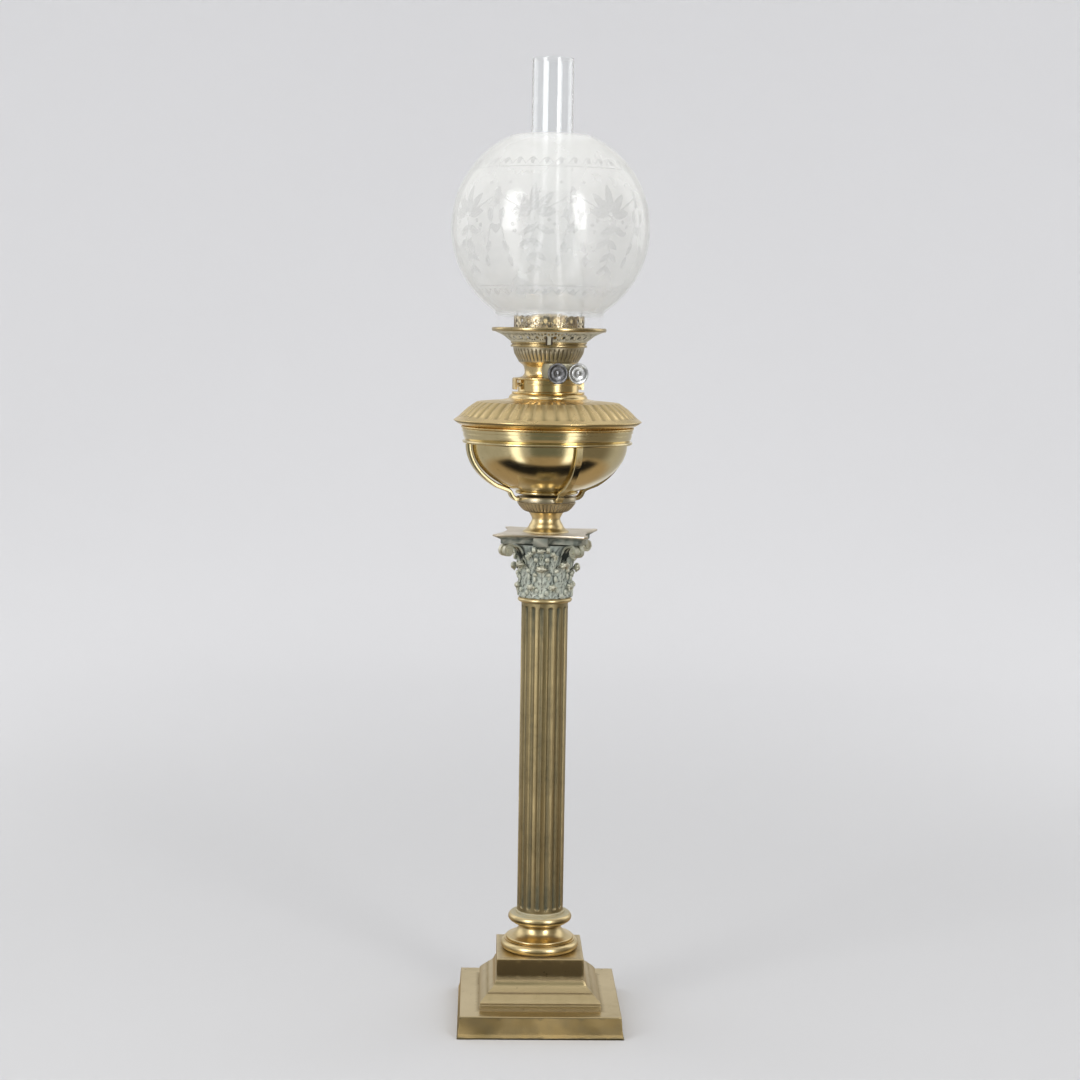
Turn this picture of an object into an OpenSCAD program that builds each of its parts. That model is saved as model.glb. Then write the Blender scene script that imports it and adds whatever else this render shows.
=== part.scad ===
// Column oil lamp: square stepped plinth, fluted column with a leafed capital, a strap cage
// that carries a drop-in font, and a twin flat wick burner with chimney and globe.
// Millimetres, +Z up, origin at the middle of the plinth's underside, front towards -Y.

/* [Plinth] */
// Width of the plate at its foot
plate_w = 157; // [150:0.5:180]
// Width of the plate's top face
plate_top_w = 152.4; // [136:0.1:156]
// Height of the plate
plate_h = 21.2; // [14:0.2:30]
// Height of the bright strip along the plate's foot
plate_strip_h = 4.6; // [2:0.1:8]
// Width of the moulding's foot on the plate
fascia_w = 115; // [106:0.2:124]
// Height of the moulding's foot
fascia_h = 4.8; // [3:0.1:8]
// Depth of the groove above the moulding's foot
groove_d = 0.8; // [0.3:0.1:2]
// Height of the groove
groove_h = 1.6; // [1:0.1:2.4]
// Width of the round that leans in above the groove
round_w = 6.5; // [4:0.1:9]
// Height of that round
round_h = 7.4; // [5:0.1:11]
// Width and height of the small step above the round
step = 1.2; // [0.6:0.1:2]
// Height of the hollow splay from the step up to the die
splay_h = 10; // [7:0.1:14]
// Width of the square die that carries the column
die_w = 82.9; // [78:0.1:96]
// Height of the die
die_h = 20; // [14:0.2:32]
// Wall of the hollow casting
plinth_wall = 6; // [4:0.5:9]
// Width of the rim that the plinth stands on
foot_rim = 8.3; // [6:0.1:12]

/* [Column] */
// Largest radius of the column's base
base_r = 37.5; // [35:0.1:39]
// Section radius of the lower round of the base
low_torus = 4.5; // [3.5:0.1:6]
// Radius of the fillet above the lower round
fillet_r = 34.2; // [32:0.1:35]
// Height of the fillet
fillet_h = 1.3; // [0.8:0.1:2.4]
// Radius of the bead above the fillet
bead_r = 32.5; // [30:0.1:33.5]
// Height of the bead
bead_h = 2.2; // [1.4:0.1:3.4]
// Smallest radius of the hollow of the base
scotia_r = 20.1; // [17:0.1:23]
// Height of the hollow of the base
scotia_h = 13.5; // [10:0.1:17]
// Radius of the fillet above the hollow
high_fillet_r = 26.5; // [25:0.1:28.5]
// Largest radius of the upper round
high_torus_r = 30.6; // [28:0.1:33]
// Section radius of the upper round
high_torus = 4.2; // [3:0.1:5]
// Radius of the ring under the shaft
foot_ring_r = 23.5; // [22.8:0.1:25]
// Height of the ring under the shaft
foot_ring_h = 2.6; // [1:0.1:4]
// Radius of the shaft
column_r = 22.2; // [20:0.1:23]
// Length of the shaft
column_h = 300; // [220:1:380]
// Wall of the shaft between the flutes
column_wall = 4; // [3.2:0.1:6]
// Number of flutes
flute_n = 16; // [12:1:18]
// Radius of the flute's hollow
flute_r = 2.9; // [2.2:0.1:3.1]
// Depth of the flutes
flute_depth = 1.7; // [1:0.1:2.3]
// Plain length left at each end of the shaft
flute_end = 3; // [2:0.5:12]
// Turn of the shaft and capital on the plinth, in degrees
column_turn = -9; // [-20:1:20]
// Radius of the ring above the shaft
neck_ring_r = 25.9; // [24.5:0.1:28]
// Height of the ring above the shaft
neck_ring_h = 5; // [3:0.1:8]

/* [Capital] */
// Height of the bell under the abacus
bell_h = 53; // [48:0.5:60]
// Radius of the bell above its foot
bell_r = 24.2; // [22:0.1:25]
// Wall of the bell
bell_wall = 8; // [5:0.5:10]
// Leaves in each of the two rows
leaf_n = 8; // [6:1:10]
// Reach of the lower leaf tips
low_leaf_r = 28.8; // [27.5:0.1:32]
// Height of the lower leaf tips above the bell's foot
low_leaf_h = 14.5; // [12:0.5:18]
// Reach of the upper leaf tips
high_leaf_r = 32.1; // [30:0.1:36]
// Height of the upper leaf tips above the bell's foot
high_leaf_h = 32.5; // [28:0.5:36]
// Width of a lower leaf
low_leaf_w = 15; // [10:0.5:18]
// Width of an upper leaf
high_leaf_w = 17; // [12:0.5:20]
// Reach of the small middle bud's tip
bud_r = 34.6; // [32:0.1:38]
// Height of the bud's tip above the bell's foot
bud_h = 43; // [38:0.5:46]
// Width of the bud
bud_w = 11; // [7:0.5:14]
// Reach of the corner scrolls
scroll_reach = 53; // [48:0.5:60]
// Radius of a corner scroll
scroll_r = 6.4; // [6:0.1:10]
// Thickness of a corner scroll
scroll_w = 11; // [6:0.5:13]
// Distance from the axis to the abacus corners
abacus_r = 63.6; // [58:0.1:70]
// Width of the cut across each corner
abacus_cut = 5; // [3:0.5:9]
// How far the sides of the abacus curve in
abacus_bow = 6.5; // [3:0.1:9]
// Height of the abacus
abacus_h = 9; // [6:0.5:14]
// Width of the block at the middle of each side
fleuron_w = 14.4; // [8:0.2:18]
// How far that block hangs below the abacus
fleuron_drop = 3.5; // [1:0.1:4.5]

/* [Font holder] */
// Height of the turned stem
stem_h = 18.8; // [16:0.2:34]
// Radius of the stem's foot
stem_foot_r = 22; // [20:0.5:26]
// Radius of the stem's waist
stem_waist_r = 13.5; // [10:0.1:16]
// Radius of the stem's collar
stem_top_r = 16.8; // [15:0.1:19]
// Radius of the cup's rim
cup_r = 28.3; // [26:0.1:29.5]
// Height of the cup with its rim
cup_h = 15; // [13:0.1:18]
// Height of the cup's rim
cup_rim_h = 4; // [3.6:0.1:5]
// Floor of the cup
cup_floor = 4; // [3:0.1:5]
// Number of reeds round the cup
cup_reed_n = 44; // [24:1:48]
// Space between the cup and the font's foot
foot_gap = 2.5; // [1.5:0.1:6]
// Height of the ring that carries the font
ring_h = 14; // [10:0.5:20]
// Wall of the ring
ring_wall = 2.4; // [1.8:0.1:4]
// Space between the ring and the font
ring_gap = 0.3; // [0.2:0.05:0.8]
// Turn of the straps from the front, in degrees
strap_turn = 20; // [0:1:45]
// Width of a strap
strap_w = 6.5; // [4:0.5:10]
// Thickness of a strap
strap_t = 4; // [2.5:0.1:4.4]
// Space between the straps and the bowl
strap_gap = 1.2; // [0.8:0.1:2]
// Radius of the rod that holds the stand together
rod_r = 4; // [3:0.1:5]
// Play round the rod
rod_gap = 0.3; // [0.2:0.05:0.6]
// Radius of the rod's nuts over their corners
nut_r = 8; // [7:0.1:10]
// Height of the rod's nuts
nut_h = 5.5; // [4:0.1:6]
// Radius of the washer under the plinth's die
washer_r = 16; // [12:0.5:24]
// Thickness of the washer
washer_t = 2.5; // [1.5:0.1:4]

/* [Font] */
// Radius of the font's foot
foot_r = 30; // [28.5:0.1:31]
// Height of the font's foot
foot_h = 4; // [3:0.1:6]
// Radius of the bowl where the ring holds it
bowl_r = 76; // [70:0.1:80]
// Depth of the round part of the bowl
bowl_h = 48.2; // [46:0.1:54]
// Depth of the bowl below the ring
bowl_drop = 43.7; // [41:0.1:45]
// How far the bowl widens within the ring
bowl_flare = 2.4; // [1:0.1:4]
// Wall of the bowl and the shoulder
font_wall = 1.8; // [1.2:0.1:2.4]
// Radius of the font's lip
lip_r = 89.1; // [84:0.1:94]
// Height of the skirt under the lip
skirt_h = 7.4; // [5:0.1:10]
// Rise of the lobed shoulder above the lip
shoulder_h = 17.6; // [14:0.1:24]
// Radius of the shoulder's upper edge
shoulder_r = 67.3; // [60:0.1:74]
// Number of lobes round the shoulder
lobe_n = 45; // [30:1:54]
// Radius of the dome's foot
dome_r = 37.4; // [36.5:0.1:41]
// Rise of the dome to the collar's flange
dome_h = 8.2; // [6:0.1:12]
// Radius of the collar's flange
collar_flange_r = 34.5; // [33:0.1:38]
// Radius of the collar
collar_r = 28.9; // [28:0.1:30]
// Height of the collar with its flange
collar_h = 12.9; // [11:0.1:18]
// Wall of the collar
collar_wall = 1.6; // [1.2:0.1:2.4]

/* [Burner] */
// Turn of the burner from the front, in degrees
burner_turn = 19.5; // [-30:0.5:60]
// Turn that frees the burner from the collar, in degrees
twist = 20; // [10:1:35]
// Radius of the burner's flange
flange_r = 33.6; // [32.5:0.1:36]
// Thickness of the burner's flange
flange_t = 2; // [1.4:0.1:2.6]
// Radius of the burner's neck
neck_r = 22.7; // [21.5:0.1:25]
// Height of the neck above the flange
neck_h = 14.6; // [14:0.1:20]
// Wall of the neck and the bowl
burner_wall = 1.2; // [0.8:0.1:1.4]
// Reach of the two bayonet lugs
lug_r = 35; // [34.4:0.1:38]
// Radius of the collar's bayonet lip
bayonet_r = 31.2; // [30.4:0.1:32]
// Thickness of the bayonet lip and of the lug's toes
toe_t = 1.6; // [1.2:0.1:2]
// Radius of the air bowl at its foot
air_foot_r = 28; // [27:0.1:30]
// Radius of the air bowl at its rim
air_rim_r = 34; // [33:0.1:36]
// Height of the air bowl
air_h = 14.1; // [11:0.1:18]
// Number of reeds round the air bowl
air_reed_n = 48; // [30:1:54]
// Distance between the two winder spindles
spindle_gap = 20.4; // [20.2:0.1:23]
// Radius of a spindle
spindle_r = 1.6; // [1.2:0.1:2]
// Running play round a spindle
spindle_play = 0.06; // [0.03:0.01:0.1]
// Radius over the teeth of a wick wheel
wheel_r = 3.1; // [2.8:0.1:3.4]
// Width of a wick wheel
wheel_w = 3; // [2:0.1:4]
// Number of teeth of a wick wheel
tooth_n = 12; // [8:1:14]
// Distance from the burner's middle to the knobs' faces
knob_reach = 51; // [46:0.5:60]
// Radius of a knob
knob_r = 9.95; // [8:0.05:10]
// Thickness of a knob's disc
knob_t = 2.6; // [1.8:0.1:4]
// Half width of the spindle casing
box_half = 14; // [13:0.1:16]
// Reach of the spindle casing
box_reach = 38; // [32:0.5:42]
// Width of a wick
wick_w = 27.6; // [22:0.1:29]
// Thickness of a wick
wick_t = 2.2; // [1.6:0.1:2.6]
// Play between a wick and its tube
wick_play = 0.4; // [0.3:0.05:0.7]
// Wall of a wick tube
tube_wall = 0.8; // [0.5:0.1:1.2]
// Length of a wick
wick_len = 137; // [110:1:140]
// How far a wick stands above its tube
wick_show = 1.6; // [0.5:0.1:3]

/* [Gallery and glass] */
// Radius of the band that seats the gallery on the bowl
band_r = 36.2; // [35.2:0.1:38.5]
// Height of the band
band_h = 5; // [3:0.1:8]
// Radius of the pierced cone at its top
cone_r = 51; // [46:0.1:52.5]
// Height of the pierced cone
cone_h = 9.4; // [7:0.1:14]
// Number of piercings round the cone
cone_hole_n = 36; // [24:1:40]
// Radius of the gallery's rolled rim
gallery_r = 54.2; // [53.6:0.1:58]
// Thickness of the gallery's sheet
sheet_t = 1.2; // [0.8:0.1:1.6]
// Outer radius of the coronet that holds the chimney
coronet_r = 33.3; // [33.3:0.1:36]
// Height of the coronet
coronet_h = 13.9; // [10:0.1:18]
// Number of piercings round the coronet
coronet_hole_n = 24; // [16:1:28]
// Radius of the flame cone at its foot
flame_r = 28; // [26:0.1:29]
// Height of the flame cone
flame_h = 16; // [14:0.1:20]
// Width of the two flame slots
slot_w = 5.4; // [4.6:0.1:7]
// Radius of the chimney's foot
chimney_foot_r = 31.6; // [30.5:0.1:31.7]
// Radius of the chimney's bulge
chimney_bulge_r = 33.4; // [32:0.1:34]
// Radius of the chimney's tube
chimney_r = 19.6; // [16:0.1:24]
// Height of the chimney
chimney_h = 252; // [236:1:300]
// Wall of the chimney
chimney_wall = 1.8; // [1.2:0.1:2.2]
// Radius of the globe's fitter
fitter_r = 51; // [47:0.1:52]
// Height of the globe's fitter
fitter_h = 17; // [12:0.1:22]
// Radius of the globe
globe_r = 93.5; // [80:0.5:110]
// Radius of the globe's top opening
globe_top_r = 37.4; // [37:0.1:46]
// Wall of the globe
globe_wall = 1.9; // [1.4:0.1:2.2]

/* [Hidden] */
$fn = 72;

// Colours of the finishes
aged_brass = [0.52, 0.46, 0.30];
bright_brass = [0.82, 0.66, 0.34];
pale_brass = [0.72, 0.65, 0.45];
verdigris = [0.54, 0.56, 0.49];
steel = [0.55, 0.55, 0.54];
cotton = [0.88, 0.85, 0.76];
clear_glass = [0.85, 0.90, 0.92, 0.35];
frosted_glass = [0.93, 0.94, 0.92, 0.75];

// Heights of the stand, from the surface up
z_groove = plate_h + fascia_h;
z_round = z_groove + groove_h;
z_step = z_round + round_h;
z_die = z_step + step + splay_h;
z_base = z_die + die_h;
z_fillet = 2 * low_torus;
z_bead = z_fillet + fillet_h;
z_scotia = z_bead + bead_h;
z_high = z_scotia + scotia_h + 1;
base_h = z_high + 2 * high_torus + foot_ring_h;
z_column = z_base + base_h;
z_neck = z_column + column_h;
z_bell = z_neck + neck_ring_h;
z_abacus = z_bell + bell_h;
z_stem = z_abacus + abacus_h;
z_cup = z_stem + stem_h;
z_foot = z_cup + cup_h + foot_gap;
z_bowl = z_foot + foot_h;
z_ring = z_bowl + bowl_drop;
z_skirt = z_ring + ring_h;
z_lip = z_skirt + skirt_h;
z_shoulder = z_lip + shoulder_h;
z_collar = z_shoulder + dome_h;
collar_flange_t = 1.6;
z_flange = z_collar + collar_h;
z_neck_foot = z_flange + flange_t;
z_air = z_neck_foot + neck_h;
z_band = z_air + air_h;
z_cone = z_band + band_h;
z_plate = z_cone + cone_h;
z_seat = z_plate + sheet_t;
z_spindle = z_neck_foot + 4.8;
z_tube = z_seat + 4;
z_bayonet = z_flange - 4.6;
lug_turn = 14;
lug_tail = 2.6;
seat_play = 0.02;
toe_gap = 0.4;

// Half widths of the plinth's moulding
half_die = die_w / 2;
half_fascia = fascia_w / 2;
half_step = half_fascia - round_w;

// Places on the rod
z_washer = z_base - plinth_wall - washer_t;
z_bottom_nut = z_washer - nut_h;
z_top_nut = z_cup + cup_floor;
rod_end = 3;
rod_hole_r = rod_r + rod_gap;

// Ring round the font and the gallery's inner sizes
ring_inner_low = bowl_r + ring_gap;
ring_inner_high = bowl_r + bowl_flare + ring_gap;
coronet_wall = 1.1;

// Wicks stand clear of the wheels beside them
wheel_gap = 0.3;
wick_x = spindle_gap / 2 - wheel_r - wheel_gap - wick_t / 2;
tube_half = wick_t / 2 + wick_play + tube_wall;
tube_len = wick_w + 2 * wick_play + 2 * tube_wall;
tube_low = z_collar - 1;
wheel_y = wick_w / 4;

function arc(x, y, rx, ry, from, to, steps = 7) =
    [for (i = [0 : steps]) let (a = from + (to - from) * i / steps) [x + rx * cos(a), y + ry * sin(a)]];

function reversed(points) = [for (i = [len(points) - 1 : -1 : 0]) points[i]];

function mirrored(points) = [for (p = reversed(points)) [-p[0], p[1]]];

// One point of a smooth curve between the middle two of four points
function blend(a, b, c, d, t) =
    0.5 * (2 * b + (c - a) * t + (2 * a - 5 * b + 4 * c - d) * t * t + (3 * b - a - 3 * c + d) * t * t * t);

// Smooth curve through a list of points
function smooth(points, steps = 4) =
    let (last = len(points) - 1)
    concat(
        [for (i = [0 : last - 1], s = [0 : steps - 1])
            blend(points[max(i - 1, 0)], points[i], points[i + 1], points[min(i + 2, last)], s / steps)],
        [points[last]]
    );

// The same curve moved sideways, to the right of the way it runs
function moved(points, by) =
    [for (i = [0 : len(points) - 1])
        let (run = points[min(i + 1, len(points) - 1)] - points[max(i - 1, 0)])
        points[i] + by * [run[1], -run[0]] / norm(run)];

// Closed outline of a sheet whose outer face follows the curve upwards
function sheet(points, wall) = concat(points, reversed(moved(points, -wall)));

module turned(points) {
    rotate_extrude() polygon(points);
}

// A square piece whose four sides all have the given outline
module squared(points, width) {
    intersection_for (turn = [0, 90])
        rotate([90, 0, turn]) linear_extrude(height = width, center = true) polygon(points);
}

module ring_of(count, turn = 0) {
    for (i = [0 : count - 1]) rotate([0, 0, turn + i * 360 / count]) children();
}

// A slim cutter along a sloping line at the front of a turned piece
module sloping_cut(low, high, radius) {
    run = high - low;
    rise = atan2(run[1], run[0]);
    translate([low[0], 0, low[1]]) rotate([0, 90 - rise, 0])
        translate([0, 0, -radius]) cylinder(r = radius, h = norm(run) + 2 * radius, $fn = 20);
}

module rod_hole() {
    translate([0, 0, -1]) cylinder(r = rod_hole_r, h = z_lip);
}

plinth_outline = concat(
    [[plate_w / 2, 0], [plate_w / 2, 1.2], [plate_w / 2 - 1.1, plate_strip_h]],
    [[plate_top_w / 2, plate_h - 0.6], [plate_top_w / 2 - 0.6, plate_h], [half_fascia, plate_h]],
    [[half_fascia, z_groove - 0.4], [half_fascia - 0.4, z_groove]],
    [[half_fascia - groove_d, z_groove], [half_fascia - groove_d, z_round], [half_fascia - 0.2, z_round]],
    smooth([[half_fascia, z_round + 0.3], [half_fascia - round_w * 0.4, z_round + round_h * 0.44],
            [half_step - 0.2, z_step - 0.2]]),
    [[half_step - step, z_step], [half_step - step, z_step + step], [half_step - step - 0.5, z_step + step]],
    smooth([[half_step - step - 0.6, z_step + step + 0.1],
            [half_die + (half_step - step - half_die) * 0.36, z_step + step + splay_h * 0.46],
            [half_die + 1, z_die - 0.7]]),
    [[half_die, z_die], [half_die, z_base - 0.6], [half_die - 0.6, z_base]]
);

plinth_hollow = [
    [plate_w / 2 - foot_rim, -1],
    [plate_w / 2 - foot_rim, 0],
    [plate_top_w / 2 - plinth_wall, plate_h - plinth_wall],
    [half_step - plinth_wall, plate_h - plinth_wall],
    [half_die - plinth_wall, z_die - plinth_wall],
    [half_die - plinth_wall, z_base - plinth_wall]
];

module plinth() {
    color(aged_brass) difference() {
        squared(concat(plinth_outline, mirrored(plinth_outline)), 2 * plate_w);
        squared(concat(plinth_hollow, mirrored(plinth_hollow)), 3 * plate_w);
        rod_hole();
    }
}

module column_base() {
    bead = bead_h / 2;
    color(bright_brass) difference() {
        translate([0, 0, z_base]) turned(concat(
            [[0, 0]],
            arc(base_r - low_torus, low_torus, low_torus, low_torus, -90, 80, 12),
            [[fillet_r, z_fillet], [fillet_r, z_bead]],
            arc(bead_r - bead, z_bead + bead, bead, bead, -80, 90, 6),
            smooth([[bead_r - 2, z_scotia], [bead_r - 6.4, z_scotia + scotia_h * 0.13],
                    [scotia_r + 2.2, z_scotia + scotia_h * 0.37], [scotia_r, z_scotia + scotia_h * 0.7],
                    [scotia_r + 1.6, z_scotia + scotia_h * 0.88], [high_fillet_r - 1, z_scotia + scotia_h]]),
            [[high_fillet_r, z_scotia + scotia_h], [high_fillet_r, z_high]],
            arc(high_torus_r - high_torus, z_high + high_torus, high_torus, high_torus, -85, 85, 12),
            [[foot_ring_r, z_high + 2 * high_torus], [foot_ring_r, base_h - 0.6],
             [foot_ring_r - 0.6, base_h], [0, base_h]]
        ));
        rod_hole();
    }
}

module column() {
    cut = column_r + flute_r - flute_depth;
    flute_h = column_h - 2 * flute_end;
    color(aged_brass) translate([0, 0, z_column]) rotate([0, 0, column_turn - 90]) difference() {
        cylinder(r = column_r, h = column_h);
        translate([0, 0, -1]) cylinder(r = column_r - column_wall, h = column_h + 2);
        ring_of(flute_n) translate([cut, 0, flute_end]) rotate_extrude($fn = 32) polygon(concat(
            arc(0, flute_r, flute_r, flute_r, -90, 0, 5),
            arc(0, flute_h - flute_r, flute_r, flute_r, 0, 90, 5)
        ));
    }
}

module neck_ring() {
    half = neck_ring_h / 2;
    color(pale_brass) difference() {
        translate([0, 0, z_neck]) turned(concat(
            [[0, 0], [column_r + 0.6, 0]],
            arc(neck_ring_r - half, half, half, half, -70, 70, 8),
            [[bell_r + 0.4, neck_ring_h], [0, neck_ring_h]]
        ));
        rod_hole();
    }
}

// Side view of a leaf that hugs the bell and turns out at its tip
function leaf_side(tip_r, tip_h) = [
    [bell_r - 2, 0.4],
    [bell_r + 1.1, 0.4],
    [bell_r + 1.8, tip_h - 7],
    [tip_r - 2.8, tip_h - 3.4],
    [tip_r - 1, tip_h - 3.6],
    [tip_r, tip_h - 1.6],
    [tip_r - 0.3, tip_h + 0.5],
    [tip_r - 1.8, tip_h + 1.9],
    [bell_r + 1, tip_h + 2.2],
    [bell_r - 2, tip_h]
];

// Front view of a leaf, with three lobes on each side
function leaf_half(width, height) = [
    [width * 0.30, 0],
    [width * 0.46, height * 0.16],
    [width * 0.37, height * 0.26],
    [width * 0.50, height * 0.44],
    [width * 0.39, height * 0.54],
    [width * 0.44, height * 0.74],
    [width * 0.26, height * 0.82],
    [width * 0.24, height * 0.97],
    [0, height * 1.05]
];

module leaf(tip_r, tip_h, width) {
    front = leaf_half(width, tip_h + 2.2);
    intersection() {
        rotate([90, 0, 0]) linear_extrude(height = width, center = true) polygon(leaf_side(tip_r, tip_h));
        rotate([90, 0, 90]) linear_extrude(height = tip_r + 5) polygon(concat(front, mirrored(front)));
    }
}

// A corner scroll and the web that carries it, seen from the side
module scroll() {
    eye = [scroll_reach - scroll_r, bell_h - scroll_r - 0.4];
    web = concat(
        smooth([[bell_r - 2, bell_h - 20], [bell_r + 2, bell_h - 13], [bell_r + 6, bell_h - 8.5],
                [eye[0] - 2, bell_h - 6.6]]),
        [[eye[0], bell_h - 0.4], [bell_r - 2, bell_h - 0.4]]
    );
    difference() {
        union() {
            rotate([90, 0, 0]) linear_extrude(height = scroll_w - 3, center = true) polygon(web);
            translate([eye[0], scroll_w / 2, eye[1]]) rotate([90, 0, 0])
                cylinder(r = scroll_r, h = scroll_w, $fn = 40);
            translate([eye[0], scroll_w / 2 + 0.9, eye[1]]) rotate([90, 0, 0])
                cylinder(r = scroll_r * 0.3, h = scroll_w + 1.8, $fn = 24);
        }
        for (side = [-1, 1]) translate([eye[0], side * (scroll_w / 2 - 0.2), eye[1]]) rotate([90, 0, 0])
            difference() {
                cylinder(r = scroll_r * 0.74, h = 2.4, center = true, $fn = 40);
                cylinder(r = scroll_r * 0.5, h = 3, center = true, $fn = 40);
            }
    }
}

module capital() {
    lip = bell_r + 9;
    color(verdigris) translate([0, 0, z_bell]) rotate([0, 0, column_turn - 90]) {
        difference() {
            union() {
                turned(concat(
                    smooth([[bell_r, 0], [bell_r - 0.8, bell_h * 0.35], [bell_r + 0.6, bell_h * 0.62],
                            [bell_r + 4.5, bell_h * 0.84], [lip, bell_h * 0.96]]),
                    [[lip, bell_h], [0, bell_h], [0, 0]]
                ));
                ring_of(leaf_n, 180 / leaf_n) leaf(low_leaf_r, low_leaf_h, low_leaf_w);
                ring_of(leaf_n) leaf(high_leaf_r, high_leaf_h, high_leaf_w);
                ring_of(4) leaf(bud_r, bud_h, bud_w);
                ring_of(4, 45) scroll();
            }
            translate([0, 0, -1]) cylinder(r = bell_r - bell_wall, h = bell_h + 2);
        }
    }
}

// Plan of the abacus with its edge drawn in by a given amount
function abacus_side(draw_in) =
    let (
        reach = abacus_r - draw_in,
        corner = (reach - abacus_cut / 2) / sqrt(2) + abacus_cut / (2 * sqrt(2)),
        half = corner - abacus_cut / sqrt(2)
    )
    [for (i = [0 : 10]) let (t = i / 5 - 1) [corner - abacus_bow * (1 - t * t), t * half]];

function turned_plan(points, a) =
    [for (p = points) [p[0] * cos(a) - p[1] * sin(a), p[0] * sin(a) + p[1] * cos(a)]];

function abacus_plan(draw_in) =
    [for (a = [0, 90, 180, 270]) each turned_plan(abacus_side(draw_in), a)];

module abacus() {
    steps = [[0, 4, 9.5], [4, 1.2, 7.5], [5.2, 1, 5], [6.2, 1, 2.4], [7.2, 1.8, 0]];
    lift = abacus_h / 9;
    block_x = (abacus_r - abacus_cut / 2) / sqrt(2) - abacus_bow;
    lip = bell_r + 10.2;
    color(pale_brass) difference() {
        translate([0, 0, z_abacus]) rotate([0, 0, column_turn]) {
            for (s = steps) translate([0, 0, s[0] * lift])
                linear_extrude(height = s[1] * lift) polygon(abacus_plan(s[2]));
            ring_of(4) {
                translate([block_x - 9, -fleuron_w / 2, 0]) cube([12, fleuron_w, 5 * lift]);
                translate([lip, -fleuron_w / 2, -fleuron_drop])
                    cube([block_x + 3 - lip, fleuron_w, 5 * lift]);
            }
        }
        rod_hole();
    }
}

module stem() {
    color(bright_brass) difference() {
        translate([0, 0, z_stem]) turned(concat(
            [[0, 0], [stem_foot_r, 0]],
            smooth([[stem_foot_r - 0.5, stem_h * 0.06], [stem_foot_r - 4.5, stem_h * 0.21],
                    [stem_waist_r + 2.2, stem_h * 0.39], [stem_waist_r, stem_h * 0.68],
                    [stem_top_r - 1.4, stem_h * 0.9], [stem_top_r, stem_h]]),
            [[0, stem_h]]
        ));
        rod_hole();
    }
}

// Outer face of the cup below its rim
cup_curve = smooth([
    [stem_top_r, 0],
    [stem_top_r + 4.8, cup_h * 0.11],
    [cup_r - 2.7, cup_h * 0.37],
    [cup_r - 0.3, cup_h - cup_rim_h - 1.6]
]);

module holder_cup() {
    side_h = cup_h - cup_rim_h;
    color(bright_brass) difference() {
        translate([0, 0, z_cup]) turned(concat(
            [[0, 0]],
            cup_curve,
            [[cup_r - 1.1, side_h - 0.8], [cup_r - 1.1, side_h], [cup_r, side_h + 0.3], [cup_r, cup_h - 0.4],
             [cup_r - 0.5, cup_h], [cup_r - 3, cup_h], [cup_r - 4.6, side_h - 2], [cup_r - 9.6, cup_floor],
             [0, cup_floor]]
        ));
        translate([0, 0, z_cup]) ring_of(cup_reed_n)
            sloping_cut([stem_top_r + 5.6, cup_h * 0.1], [cup_r + 0.1, side_h - 2.4], 0.6);
        rod_hole();
    }
}

module holder_ring() {
    top_r = ring_inner_high + ring_wall;
    foot = ring_inner_low + strap_gap + strap_t - 0.8;
    bead = 1.4;
    color(pale_brass) translate([0, 0, z_ring]) turned(concat(
        [[ring_inner_low, 0], [foot - 0.8, 0]],
        arc(foot - bead, bead, bead, bead, -60, 90, 6),
        [[ring_inner_low + 2, 2 * bead + 0.2], [ring_inner_low + 3, ring_h * 0.44]],
        [[top_r - 1, ring_h - 3.4], [top_r, ring_h - 2.6], [top_r, ring_h], [ring_inner_high, ring_h]]
    ));
}

// Middle line of a strap in the plane through the axis, from the ring down to the cup
strap_off = strap_gap + strap_t / 2;
rim_mid = z_cup + cup_h - cup_rim_h / 2;
strap_path = smooth(concat(
    [[bowl_r + strap_off, z_ring + 6]],
    arc(0, z_ring, bowl_r + strap_off, bowl_h + strap_off, 0, -50, 7),
    [[foot_r + 10.4, z_bowl + 0.6],
     [foot_r + 7.3, z_bowl - 1.6],
     [foot_r + 5.2, z_foot - 1.4],
     [cup_r + 4.6, rim_mid + 0.8],
     [cup_r + 2.4, rim_mid],
     [cup_r - 1, rim_mid]]
), 3);

module strap(place) {
    color(pale_brass) difference() {
        rotate([0, 0, strap_turn + 90 * place - 90]) rotate([90, 0, 0]) {
            linear_extrude(height = strap_w, center = true)
                polygon(concat(moved(strap_path, strap_t / 2), reversed(moved(strap_path, -strap_t / 2))));
            linear_extrude(height = strap_w / 3, center = true)
                polygon(concat(strap_path, reversed(moved(strap_path, -strap_t / 2 - 0.7))));
        }
        translate([0, 0, z_ring]) cylinder(r = lip_r, h = 20);
        translate([0, 0, z_cup]) cylinder(r = cup_r, h = cup_h);
    }
}

module tie_rod() {
    low = z_bottom_nut - rod_end;
    color(steel) translate([0, 0, low]) cylinder(r = rod_r, h = z_top_nut + nut_h + 1 - low);
}

module bottom_washer() {
    color(steel) translate([0, 0, z_washer]) difference() {
        cylinder(r = washer_r, h = washer_t);
        translate([0, 0, -1]) cylinder(r = rod_hole_r, h = washer_t + 2);
    }
}

module nut(z) {
    color(steel) translate([0, 0, z]) difference() {
        cylinder(r = nut_r, h = nut_h, $fn = 6);
        translate([0, 0, -1]) cylinder(r = rod_r + 0.05, h = nut_h + 2);
    }
}

module bottom_nut() {
    nut(z_bottom_nut);
}

module top_nut() {
    nut(z_top_nut);
}

module font_foot() {
    bead = foot_h / 2 - 0.4;
    color(bright_brass) translate([0, 0, z_foot]) turned(concat(
        [[0, 0.8], [foot_r - 5, 0.8], [foot_r - 4.4, 0]],
        arc(foot_r - bead, bead, bead, bead, -90, 80, 7),
        [[foot_r - 1.6, foot_h - 0.6], [foot_r - 1.6, foot_h], [0, foot_h]]
    ));
}

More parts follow.
